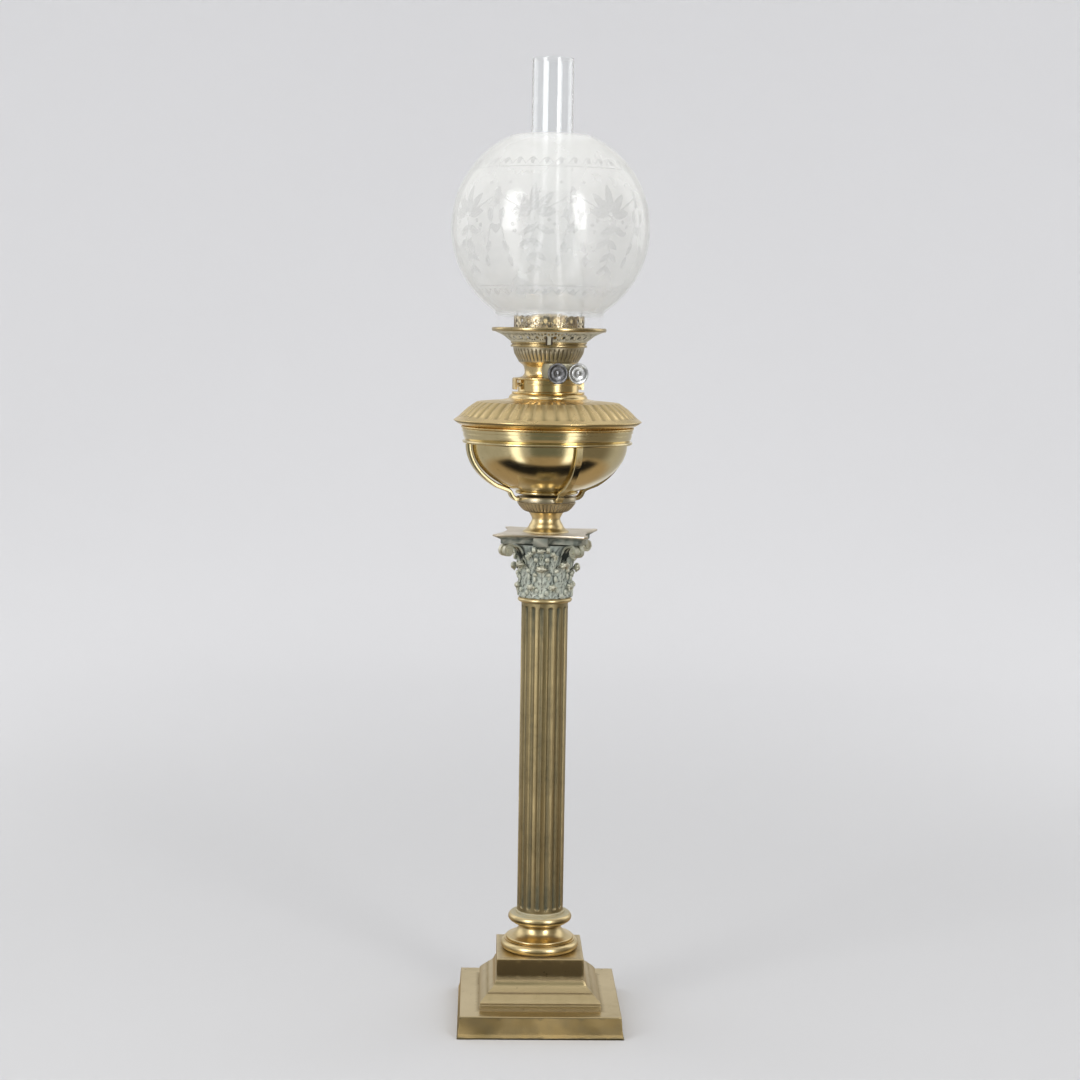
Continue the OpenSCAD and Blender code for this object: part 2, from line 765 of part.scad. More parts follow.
// Outer face of the bowl, from its foot up to the shoulder
bowl_curve = concat(
    [[foot_r - 1.6, z_bowl]],
    arc(0, z_ring, bowl_r, bowl_h, -asin(bowl_drop / bowl_h), 0, 16),
    [[bowl_r + bowl_flare, z_skirt]]
);

module font_bowl() {
    inner = moved(bowl_curve, -font_wall);
    last = len(inner) - 1;
    color(pale_brass) turned(concat(
        [[0, z_bowl]],
        bowl_curve,
        [[inner[last][0], z_skirt]],
        [for (i = [last - 1 : -1 : 2]) inner[i]],
        [[0, z_bowl + font_wall]]
    ));
}

module font_shoulder() {
    skirt_r = ring_inner_high + ring_wall + 0.2;
    slope = [lip_r - 5.6, z_lip + 4.4];
    edge = [shoulder_r, z_shoulder - 0.3];
    inner_r = bowl_r + bowl_flare - font_wall;
    lobe_end = [dome_r + 8.6, z_shoulder + dome_h * 0.22];
    color(bright_brass) difference() {
        turned(concat(
            [[inner_r, z_skirt]],
            arc(skirt_r - 1, z_skirt + 1, 1, 1, -90, 90, 6),
            [[skirt_r - 1.1, z_skirt + 2.2], [skirt_r + 0.7, z_skirt + 2.8], [skirt_r + 2.8, z_skirt + 4.6]],
            arc(lip_r - 0.7, z_lip, 0.7, 0.7, -60, 60, 5),
            smooth([slope, [(slope[0] + edge[0]) / 2 + 0.5, (slope[1] + edge[1]) / 2 + 0.6], edge], 4),
            [[shoulder_r - 2, z_shoulder + 0.1], lobe_end],
            smooth([[dome_r + 1, z_shoulder + dome_h * 0.4], [dome_r, z_shoulder + dome_h * 0.46],
                    [dome_r - 1, z_shoulder + dome_h * 0.74], [collar_flange_r - 0.6, z_collar]], 3),
            [[collar_r - collar_wall, z_collar], [collar_r - collar_wall, z_collar - font_wall],
             [dome_r - 3, z_shoulder + dome_h * 0.4 - font_wall],
             [lobe_end[0], lobe_end[1] - font_wall - 0.8],
             [shoulder_r - 2, z_shoulder - font_wall - 1],
             [slope[0] - 3.4, slope[1] - 2.4],
             [inner_r, z_skirt + 3.6]]
        ));
        ring_of(lobe_n) {
            sloping_cut([edge[0] + 0.9, edge[1] + 0.3], [slope[0] - 0.6, slope[1] + 0.4], 1.1);
            sloping_cut([lobe_end[0] + 1, lobe_end[1] + 0.2], [edge[0] - 0.4, edge[1] + 0.5], 0.9);
        }
    }
}

module font_collar() {
    notch_turn = lug_turn + 5;
    color(bright_brass) difference() {
        translate([0, 0, z_collar]) difference() {
            union() {
                cylinder(r = collar_flange_r, h = collar_flange_t);
                cylinder(r = collar_r, h = collar_h - seat_play);
                translate([0, 0, z_bayonet - z_collar]) cylinder(r = bayonet_r, h = toe_t);
            }
            translate([0, 0, -1]) cylinder(r = collar_r - collar_wall, h = collar_h + 2);
        }
        for (side = [0, 180]) rotate([0, 0, burner_turn + side + twist - notch_turn / 2])
            rotate_extrude(angle = notch_turn) translate([collar_r, z_bayonet - 1])
                square([4, toe_t + 2]);
    }
}

// Everything in the burner stands in its own frame: knobs at the front, wicks side by side
module in_burner() {
    rotate([0, 0, burner_turn]) children();
}

// Outer face of the burner's neck, from the flange up to the air bowl
neck_curve = smooth([
    [flange_r - 1.4, z_neck_foot],
    [neck_r + 3.4, z_neck_foot + 0.6],
    [neck_r + 0.4, z_neck_foot + neck_h * 0.22],
    [neck_r, z_neck_foot + neck_h * 0.48],
    [neck_r + 1.2, z_neck_foot + neck_h * 0.76],
    [air_foot_r, z_air]
], 3);

module spindle_bores() {
    for (side = [-1, 1]) translate([side * spindle_gap / 2, box_reach + 10, z_spindle]) rotate([90, 0, 0])
        cylinder(r = spindle_r + spindle_play, h = 2 * box_reach + 20, $fn = 32);
}

module burner_base() {
    lug_inner = flange_r - 0.6;
    lug_h = z_flange - z_bayonet + toe_t + toe_gap;
    color(bright_brass) in_burner() difference() {
        union() {
            turned(concat(
                [[0, z_flange], [flange_r, z_flange], [flange_r, z_neck_foot - 0.5]],
                [[flange_r - 0.5, z_neck_foot]],
                neck_curve,
                [for (p = reversed(moved(neck_curve, -burner_wall)))
                    [p[0], min(max(p[1], z_neck_foot), z_air)]],
                [[0, z_neck_foot]]
            ));
            for (side = [0, 180]) rotate([0, 0, side - lug_turn / 2]) {
                rotate_extrude(angle = lug_turn) translate([lug_inner, z_flange - lug_h - lug_tail])
                    square([lug_r - lug_inner, lug_h + lug_tail + flange_t - 0.4]);
                rotate_extrude(angle = lug_turn) translate([collar_r + toe_gap, z_flange - lug_h])
                    square([lug_r - 0.4 - collar_r - toe_gap, toe_t]);
            }
        }
        for (side = [-1, 1]) translate([side * wick_x - tube_half, -tube_len / 2, z_flange - 1])
            cube([2 * tube_half, tube_len, 4 + flange_t]);
        spindle_bores();
    }
}

module spindle_casing() {
    color(pale_brass) in_burner() difference() {
        translate([-box_half, -box_reach, z_neck_foot]) cube([2 * box_half, box_reach, neck_h - 0.8]);
        turned(concat(
            [[0, z_flange], [flange_r - 1.4, z_flange]], neck_curve,
            [[air_foot_r, z_air + 1], [0, z_air + 1]]
        ));
        translate([-box_half - 1, -neck_r + 4, z_flange]) cube([2 * box_half + 2, neck_r, neck_h + 4]);
        spindle_bores();
    }
}

module air_bowl() {
    curve = smooth([[air_foot_r, z_air], [air_foot_r + 1, z_air + air_h * 0.13],
                    [air_rim_r - 2.9, z_air + air_h * 0.38], [air_rim_r - 1.3, z_air + air_h * 0.6],
                    [air_rim_r - 0.6, z_air + air_h * 0.82], [air_rim_r - 0.2, z_band - 0.2]], 3);
    floor_t = 1;
    color(pale_brass) in_burner() difference() {
        turned(concat(
            [[0, z_air]],
            curve,
            [[air_rim_r, z_band], [air_rim_r - burner_wall, z_band]],
            reversed(moved(curve, -burner_wall)),
            [[air_foot_r - 1, z_air + floor_t], [0, z_air + floor_t]]
        ));
        for (side = [-1, 1]) translate([side * wick_x - tube_half - 0.3, -tube_len / 2 - 0.3, z_air - 1])
            cube([2 * tube_half + 0.6, tube_len + 0.6, 4]);
        ring_of(24) translate([22.5, 0, z_air - 1]) cylinder(r = 1.6, h = 4, $fn = 20);
        ring_of(air_reed_n)
            sloping_cut([air_foot_r + 1.3, z_air + 1.8], [air_rim_r - 0.8, z_air + air_h * 0.66], 0.6);
    }
}

module wick_tube(side) {
    window_h = 2 * wheel_r;
    color(bright_brass) in_burner() difference() {
        translate([side * wick_x - tube_half, -tube_len / 2, tube_low])
            cube([2 * tube_half, tube_len, z_tube - tube_low]);
        translate([side * wick_x - tube_half + tube_wall, -tube_len / 2 + tube_wall, tube_low - 1])
            cube([2 * (tube_half - tube_wall), tube_len - 2 * tube_wall, z_tube - tube_low + 2]);
        for (y = [-wheel_y, wheel_y])
            translate([side * (wick_x + tube_half / 2), y, z_spindle])
                cube([2 * tube_half, wheel_w + 1, window_h], center = true);
    }
}

module left_wick_tube() {
    wick_tube(-1);
}

module right_wick_tube() {
    wick_tube(1);
}

module spindle(side) {
    far = sqrt(pow(neck_r, 2) - pow(spindle_gap / 2, 2));
    color(steel) in_burner() translate([side * spindle_gap / 2, far, z_spindle]) rotate([90, 0, 0])
        cylinder(r = spindle_r, h = far + knob_reach - knob_t / 2, $fn = 32);
}

module left_spindle() {
    spindle(-1);
}

module right_spindle() {
    spindle(1);
}

module wheels(side) {
    color(steel) in_burner() for (y = [-wheel_y, wheel_y])
        translate([side * spindle_gap / 2, y + wheel_w / 2, z_spindle]) rotate([90, 0, 0]) difference() {
            linear_extrude(height = wheel_w) polygon([for (i = [0 : 2 * tooth_n - 1])
                (i % 2 == 0 ? wheel_r : wheel_r - 0.8) * [cos(i * 180 / tooth_n), sin(i * 180 / tooth_n)]]);
            translate([0, 0, -1]) cylinder(r = spindle_r + 0.03, h = wheel_w + 2, $fn = 32);
        }
}

module left_wheels() {
    wheels(-1);
}

module right_wheels() {
    wheels(1);
}

module knob(side) {
    hub_r = spindle_r + 1.8;
    hub_l = 4.5;
    color(steel) in_burner() translate([side * spindle_gap / 2, -knob_reach + knob_t + hub_l, z_spindle])
        rotate([90, 0, 0]) difference() {
            union() {
                cylinder(r = hub_r, h = hub_l + 1);
                translate([0, 0, hub_l]) turned(concat(
                    [[0, 0], [knob_r - 0.8, 0]],
                    arc(knob_r - 0.8, 0.8, 0.8, 0.8, -60, 60, 5),
                    [[knob_r - 1.6, knob_t - 0.6], [knob_r - 2.4, knob_t - 1], [knob_r * 0.45, knob_t - 0.5],
                     [0, knob_t]]
                ));
            }
            translate([0, 0, -1]) cylinder(r = spindle_r + 0.03, h = hub_l + 1 + knob_t / 2, $fn = 32);
            translate([0, 0, hub_l]) ring_of(30) translate([knob_r + 0.35, 0, -1])
                cylinder(r = 0.6, h = knob_t + 2, $fn = 16);
        }
}

module left_knob() {
    knob(-1);
}

module right_knob() {
    knob(1);
}

module wick(side) {
    low = z_tube + wick_show - wick_len;
    color(cotton) in_burner() translate([side * wick_x - wick_t / 2, -wick_w / 2, low])
        cube([wick_t, wick_w, wick_len]);
}

module left_wick() {
    wick(-1);
}

module right_wick() {
    wick(1);
}

module gallery_cone() {
    foot = [band_r - 0.4, z_cone];
    curve = smooth([foot, [(foot[0] + cone_r) / 2 - 1.8, z_cone + cone_h * 0.44], [cone_r, z_plate]], 4);
    inner = air_rim_r - burner_wall;
    color(pale_brass) in_burner() difference() {
        turned(concat(
            [[inner, z_band], [band_r - 1, z_band]],
            arc(band_r - 1, z_band + 1.2, 1, 1.2, -90, 90, 6),
            [[band_r - 1.6, z_band + 2.6]],
            arc(band_r - 1, z_cone - 1.1, 1, 1.1, -90, 90, 6),
            curve,
            reversed([for (p = moved(curve, -sheet_t)) [p[0], min(p[1], z_plate)]]),
            [[inner, z_cone - 1]]
        ));
        ring_of(cone_hole_n) translate([band_r - 4, 0, z_cone + cone_h * 0.5]) rotate([0, 60, 0])
            cylinder(r = 1.5, h = cone_r - band_r + 10, $fn = 16);
    }
}

module gallery_plate() {
    rim = 1.3;
    color(bright_brass) in_burner() difference() {
        turned(concat(
            [[flame_r - 4, z_plate], [gallery_r - rim, z_plate]],
            arc(gallery_r - rim, z_plate + 2, rim, 2, -90, 180, 12),
            [[gallery_r - 2 * rim, z_seat], [flame_r - 4, z_seat]]
        ));
        ring_of(16) translate([42, 0, z_plate - 1]) cylinder(r = 2.2, h = 4, $fn = 24);
    }
}

module coronet() {
    color(bright_brass) in_burner() translate([0, 0, z_seat]) difference() {
        turned([[coronet_r - coronet_wall, 0], [coronet_r + 0.8, 0], [coronet_r + 0.8, 1], [coronet_r, 1.6],
                [coronet_r, coronet_h], [coronet_r - coronet_wall, coronet_h]]);
        ring_of(coronet_hole_n) translate([coronet_r - 4, 0, coronet_h * 0.52]) rotate([0, 90, 0])
            cylinder(r = 2.5, h = 8, $fn = 24);
        ring_of(coronet_hole_n, 180 / coronet_hole_n) translate([coronet_r - 4, 0, coronet_h])
            rotate([0, 90, 0]) cylinder(r = 2.6, h = 8, $fn = 24);
    }
}

module flame_cone() {
    curve = smooth([[flame_r, z_seat], [flame_r - 0.8, z_seat + flame_h * 0.3],
                    [flame_r - 4.6, z_seat + flame_h * 0.66], [flame_r - 13, z_seat + flame_h * 0.93],
                    [flame_r - 22, z_seat + flame_h]], 4);
    inner = moved(curve, -1);
    color(bright_brass) in_burner() difference() {
        turned(concat(
            curve, [[0, z_seat + flame_h], [0, z_seat + flame_h - 1]],
            reversed([for (p = inner) [p[0], max(p[1], z_seat)]])
        ));
        for (side = [-1, 1]) translate([side * wick_x - slot_w / 2, -wick_w / 2 - 0.5, z_tube])
            cube([slot_w, wick_w + 1, flame_h + 10]);
    }
}

module chimney() {
    foot_h = 22;
    curve = concat(
        [[chimney_foot_r, 0], [chimney_foot_r, foot_h - 6]],
        smooth([[chimney_foot_r, foot_h], [chimney_bulge_r, foot_h + 16],
                [chimney_bulge_r - 1.6, foot_h + 34], [chimney_r + 6, foot_h + 64],
                [chimney_r + 1, foot_h + 90], [chimney_r, foot_h + 120]], 5),
        [[chimney_r, chimney_h]]
    );
    color(clear_glass) translate([0, 0, z_seat]) turned(sheet(curve, chimney_wall));
}

module globe() {
    low = asin(fitter_r / globe_r);
    high = asin(globe_top_r / globe_r);
    centre = fitter_h + globe_r * cos(low);
    curve = concat(
        [[fitter_r, 0], [fitter_r, fitter_h - 2]],
        [[fitter_r + 0.7, fitter_h - 0.2]],
        arc(0, centre, globe_r, globe_r, low - 90 + 2, 90 - high, 40)
    );
    color(frosted_glass) translate([0, 0, z_seat]) turned(sheet(curve, globe_wall));
}

plinth();
column_base();
column();
neck_ring();
capital();
abacus();
stem();
holder_cup();
holder_ring();
strap(0);  // front_strap
strap(1);  // right_strap
strap(2);  // back_strap
strap(3);  // left_strap
tie_rod();
bottom_washer();
bottom_nut();
top_nut();
font_foot();
font_bowl();
font_shoulder();
font_collar();
burner_base();
spindle_casing();
air_bowl();
left_wick_tube();
right_wick_tube();
left_spindle();
left_wheels();
left_knob();
right_spindle();
right_wheels();
right_knob();
left_wick();
right_wick();
gallery_cone();
gallery_plate();
coronet();
flame_cone();
chimney();
globe();
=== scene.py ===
"""Looks of the column oil lamp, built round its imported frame."""

from __future__ import annotations

import logging
import math
from dataclasses import dataclass
from enum import Enum
from typing import Callable, NamedTuple, Sequence

import bmesh
import bpy
from mathutils import Matrix, Vector, noise

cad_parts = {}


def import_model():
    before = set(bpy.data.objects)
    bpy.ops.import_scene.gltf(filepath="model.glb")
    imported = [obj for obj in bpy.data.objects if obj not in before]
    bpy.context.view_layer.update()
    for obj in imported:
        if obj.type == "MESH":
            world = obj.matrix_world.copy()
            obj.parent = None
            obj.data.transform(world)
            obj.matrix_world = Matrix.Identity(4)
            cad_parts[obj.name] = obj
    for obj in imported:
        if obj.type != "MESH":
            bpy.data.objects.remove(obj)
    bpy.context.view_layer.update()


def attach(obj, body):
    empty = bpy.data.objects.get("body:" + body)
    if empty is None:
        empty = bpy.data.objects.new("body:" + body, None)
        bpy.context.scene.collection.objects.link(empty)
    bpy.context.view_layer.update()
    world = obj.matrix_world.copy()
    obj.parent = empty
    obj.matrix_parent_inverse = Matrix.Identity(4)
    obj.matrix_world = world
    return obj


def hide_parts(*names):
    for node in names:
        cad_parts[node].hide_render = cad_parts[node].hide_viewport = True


LOG = logging.getLogger("lamp")
MM = 0.001
Point = tuple[float, float]
Triple = tuple[float, float, float]
BMesh = bmesh.types.BMesh
Object = bpy.types.Object
Material = bpy.types.Material
Socket = bpy.types.NodeSocket


class Spot(NamedTuple):
    """A point of an outline: its radius, its height and its place in the list."""

    x: float
    y: float
    index: int


Shape = Callable[[float, float, Spot], tuple[float, float]]

# Heights in mm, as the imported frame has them
Z_BASE = 66.2
Z_COLUMN = 104.2
Z_NECK = 404.2
Z_BELL = 409.2
Z_ABACUS = 462.2
Z_STEM = 471.2
Z_CUP = 490.0
Z_FOOT = 507.5
Z_BOWL = 511.5
Z_RING = 555.2
Z_SKIRT = 569.2
Z_LIP = 576.6
Z_SHOULDER = 594.2
Z_COLLAR = 602.4
Z_FLANGE = 615.3
Z_NECK_FOOT = 617.3
Z_SPINDLE = 622.1
Z_AIR = 631.9
Z_BAND = 646.0
Z_CONE = 651.0
Z_PLATE = 660.4
Z_SEAT = 661.6
COLUMN_TURN = math.radians(-9)
BURNER_TURN = math.radians(19.5)
STRAP_TURN = math.radians(20)
UP = Vector((0, 0, 1))

# Sizes in mm that several pieces share
ROD_HOLE = 4.4
BOWL_RADIUS = 76.0
BOWL_DEPTH = 48.2
BURNER_WALL = 1.2


class Slot(Enum):
    """Material slots of the record."""

    AGED = "aged_brass"
    VERDIGRIS = "verdigris_brass"
    BRIGHT = "bright_brass"
    SATIN = "satin_brass"
    STEEL = "steel"
    COTTON = "cotton"
    CLEAR = "clear_glass"
    FROSTED = "frosted_glass"


# ---------------------------------------------------------------- outlines


def arc(cx: float, cz: float, rx: float, rz: float, start: float, end: float, steps: int = 10) -> list[Point]:
    """Points along part of an ellipse.

    Args:
        cx, cz: centre. rx, rz: radii. start, end: angles in degrees. steps: number of stretches.

    Returns:
        The points in order.
    """
    turn = [math.radians(start + (end - start) * i / steps) for i in range(steps + 1)]
    return [(cx + rx * math.cos(a), cz + rz * math.sin(a)) for a in turn]


def smooth(points: Sequence[Point], steps: int = 6) -> list[Point]:
    """Smooth curve through points.

    Args:
        points: the points to pass through. steps: stretches between two of them.

    Returns:
        The points of the curve.
    """
    out: list[Point] = []
    last = len(points) - 1
    for i in range(last):
        a, b, c, d = (Vector(points[min(max(j, 0), last)]) for j in (i - 1, i, i + 1, i + 2))
        for s in range(steps):
            t = s / steps
            p = 0.5 * (2 * b + (c - a) * t + (2 * a - 5 * b + 4 * c - d) * t * t + (3 * b - a - 3 * c + d) * t**3)
            out.append((p.x, p.y))
    out.append(tuple(points[last]))
    return out


def shifted(points: Sequence[Point], by: float) -> list[Point]:
    """The same curve moved to the right of the way it runs."""
    out = []
    for i, p in enumerate(points):
        run = Vector(points[min(i + 1, len(points) - 1)]) - Vector(points[max(i - 1, 0)])
        run.normalize()
        out.append((p[0] + by * run.y, p[1] - by * run.x))
    return out


def raised(points: Sequence[Point], by: float) -> list[Point]:
    """The same outline, higher by an amount."""
    return [(r, z + by) for r, z in points]


def spaced(points: Sequence[Point], longest: float) -> list[Point]:
    """The same line with no stretch longer than a given length."""
    out = [tuple(points[0])]
    for a, b in zip(points, points[1:]):
        count = max(1, math.ceil(math.dist(a, b) / longest))
        out += [(a[0] + (b[0] - a[0]) * i / count, a[1] + (b[1] - a[1]) * i / count) for i in range(1, count + 1)]
    return out


def clamp(value: float) -> float:
    """The nearest number within 0..1."""
    return min(1.0, max(0.0, value))


def polar(turn: float, r: float, z: float) -> Vector:
    """Place at a turn from the front, a radius and a height."""
    return Vector((r * math.sin(turn), -r * math.cos(turn), z))


def outward(turn: float) -> Vector:
    """Direction away from the axis at a turn from the front."""
    return polar(turn, 1.0, 0.0)


def sideways(turn: float) -> Vector:
    """Direction across the outward one, level and to its right."""
    return Vector((math.cos(turn), math.sin(turn), 0))


# ---------------------------------------------------------------- meshes


def new_object(name: str, data: bpy.types.ID) -> Object:
    """Adds an object to the scene."""
    obj = bpy.data.objects.new(name, data)
    bpy.context.collection.objects.link(obj)
    return obj


def finish_mesh(name: str, bm: BMesh, sharp: float = 38.0) -> Object:
    """Turns a mesh in the making into a piece of the scene, from mm to metres.

    Args:
        name: the piece's name. bm: the mesh in mm. sharp: edges over this angle, in degrees, stay crisp.

    Returns:
        The new object.
    """
    bmesh.ops.remove_doubles(bm, verts=bm.verts, dist=0.002)
    bmesh.ops.recalc_face_normals(bm, faces=bm.faces)
    limit = math.radians(sharp)
    for f in bm.faces:
        f.smooth = True
    for e in bm.edges:
        e.smooth = not (len(e.link_faces) == 2 and e.calc_face_angle(0.0) > limit)
    mesh = bpy.data.meshes.new(name)
    bm.to_mesh(mesh)
    bm.free()
    mesh.transform(Matrix.Scale(MM, 4))
    return new_object(name, mesh)


def store(obj: Object, name: str, values: Sequence[float]) -> None:
    """Stores a number on each point of a piece, for its finish to read."""
    obj.data.attributes.new(name, "FLOAT", "POINT").data.foreach_set("value", values)


def mark(obj: Object, name: str, value: Callable[[Vector], float]) -> None:
    """Stores a number that is worked out from each point's place in mm."""
    store(obj, name, [value(v.co / MM) for v in obj.data.vertices])


def mark_creases(obj: Object, reach: float) -> None:
    """Stores how far each point lies in a crease of the surface, 0 on flats and ridges, for a finish to paint shade
    there.

    Args:
        obj: the piece. reach: depth in mm that counts as a full crease.
    """
    mesh = obj.data
    sums = [Vector() for _ in mesh.vertices]
    counts = [0] * len(mesh.vertices)
    for e in mesh.edges:
        a, b = e.vertices
        sums[a] += mesh.vertices[b].co
        sums[b] += mesh.vertices[a].co
        counts[a] += 1
        counts[b] += 1
    depth = []
    for v, total, count in zip(mesh.vertices, sums, counts):
        off = (total / count - v.co).dot(v.normal) / MM if count else 0.0
        depth.append(clamp(off / reach))
    store(obj, "crease", depth)


def lace(bm: BMesh, rings: Sequence[Sequence], skipped: Sequence[int] = (), flip: bool = False) -> None:
    """Joins each ring of points to the next with faces.

    Args:
        bm: the mesh. rings: rings of equal length. skipped: places in a ring where no face starts.
        flip: turns the faces over.
    """
    count = len(rings[0])
    for here, there in zip(rings, rings[1:]):
        for j in range(count):
            k = (j + 1) % count
            if j not in skipped:
                quad = [here[j], there[j], there[k], here[k]]
                bm.faces.new(quad[:1] + quad[:0:-1] if flip else quad)


def cap(bm: BMesh, rings: Sequence[Sequence]) -> None:
    """Closes the first and the last ring of a row."""
    bm.faces.new(rings[0][::-1])
    bm.faces.new(rings[-1])


def revolve(
    name: str,
    outline: Sequence[Point],
    count: int = 160,
    shape: Shape | None = None,
    sharp: float = 38.0,
    closed: bool = True,
) -> Object:
    """Turns an outline about the lamp's axis.

    Args:
        name: the piece's name. outline: (radius, height) points in mm. count: steps round.
        shape: from (angle, radius, place) to (radius, height) of a point of a piece that isn't round.
        sharp: edges over this angle stay crisp. closed: joins the last point to the first.

    Returns:
        The new object.
    """
    bm = bmesh.new()
    spots = [Spot(r, z, index) for index, (r, z) in enumerate(outline)]
    turns = [2 * math.pi * i / count for i in range(count)]
    rings = [[bm.verts.new(polar(a, *(shape(a, p.x, p) if shape else p[:2]))) for p in spots] for a in turns]
    on_axis = [p.x <= 1e-6 for p in spots]
    skipped = [j for j, flat in enumerate(on_axis) if flat and on_axis[(j + 1) % len(spots)]]
    if not closed:
        skipped.append(len(spots) - 1)
    lace(bm, rings + rings[:1], skipped)
    return finish_mesh(name, bm, sharp)


def sweep(
    bm: BMesh,
    path: Sequence[Vector],
    section: Sequence[Point],
    side: Vector,
    scale: Callable[[float], float] = lambda t: 1.0,
) -> None:
    """Adds a section swept along a path to a mesh, with a size that may change along it."""
    rings = []
    last = len(path) - 1
    for i, p in enumerate(path):
        run = (path[min(i + 1, last)] - path[max(i - 1, 0)]).normalized()
        out = side.cross(run).normalized()
        k = scale(i / last)
        rings.append([bm.verts.new(p + side * (x * k) + out * (y * k)) for x, y in section])
    lace(bm, rings, flip=True)
    cap(bm, rings)


def bevelled(source: str, name: str, width: float, steps: int, longest: float = 0.0) -> Object:
    """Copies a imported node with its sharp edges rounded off.

    Args:
        source: the node. name: the new piece's name. width: width of the rounding in mm. steps: its segments.
        longest: edges over this length in mm are divided, unless it is 0.

    Returns:
        The new object.
    """
    cut = math.radians(25.0)
    bm = bmesh.new()
    bm.from_mesh(bpy.data.objects[source].data)
    bm.transform(Matrix.Scale(1 / MM, 4))
    bmesh.ops.remove_doubles(bm, verts=bm.verts, dist=0.004)
    bmesh.ops.dissolve_limit(bm, angle_limit=math.radians(1.0), verts=bm.verts, edges=bm.edges)
    edges = [e for e in bm.edges if len(e.link_faces) == 2 and e.calc_face_angle(0.0) > cut]
    bmesh.ops.bevel(
        bm, geom=edges, offset=width, segments=steps, profile=0.6, affect="EDGES", clamp_overlap=True
    )
    if longest:
        bmesh.ops.triangulate(bm, faces=bm.faces)
        for _ in range(6):
            long = [e for e in bm.edges if e.calc_length() > longest]
            bmesh.ops.subdivide_edges(bm, edges=long, cuts=1)
            bmesh.ops.triangulate(bm, faces=[f for f in bm.faces if len(f.verts) > 3])
    return finish_mesh(name, bm)


def pierced(
    name: str,
    cells: int,
    rows: Sequence[Sequence[Point]],
    holes: Sequence[Sequence[Point]],
    place: Callable[[float, float], Vector],
    wall: float,
) -> Object:
    """A sheet round the axis with the same holes cut in each of its cells.

    Args:
        name: the piece's name. cells: how many times the pattern repeats. rows: the cell's border, as four lines.
        holes: outlines in the cell, both in (0..1, 0..1). place: from (turn 0..1, height 0..1) to a place in mm.
        wall: thickness in mm.

    Returns:
        The new object.
    """
    flat = bmesh.new()
    for loop in [[p for row in rows for p in row[:-1]], *holes]:
        verts = [flat.verts.new((x, y, 0)) for x, y in loop]
        for a, b in zip(verts, verts[1:] + verts[:1]):
            flat.edges.new((a, b))
    bmesh.ops.triangle_fill(flat, use_beauty=True, use_dissolve=False, edges=flat.edges[:])
    flat.verts.index_update()
    bm = bmesh.new()
    for cell in range(cells):
        made = [bm.verts.new(place((cell + v.co.x) / cells, v.co.y)) for v in flat.verts]
        for f in flat.faces:
            bm.faces.new([made[v.index] for v in f.verts])
    flat.free()
    bmesh.ops.remove_doubles(bm, verts=bm.verts, dist=0.01)
    bmesh.ops.recalc_face_normals(bm, faces=bm.faces)
    outer = bm.faces[0]
    middle = outer.calc_center_median()
    if outer.normal.dot(Vector((middle.x, middle.y, 0))) < 0:
        bmesh.ops.reverse_faces(bm, faces=bm.faces)
    bmesh.ops.solidify(bm, geom=bm.faces[:], thickness=wall)
    return finish_mesh(name, bm, 30.0)


# ---------------------------------------------------------------- finishes


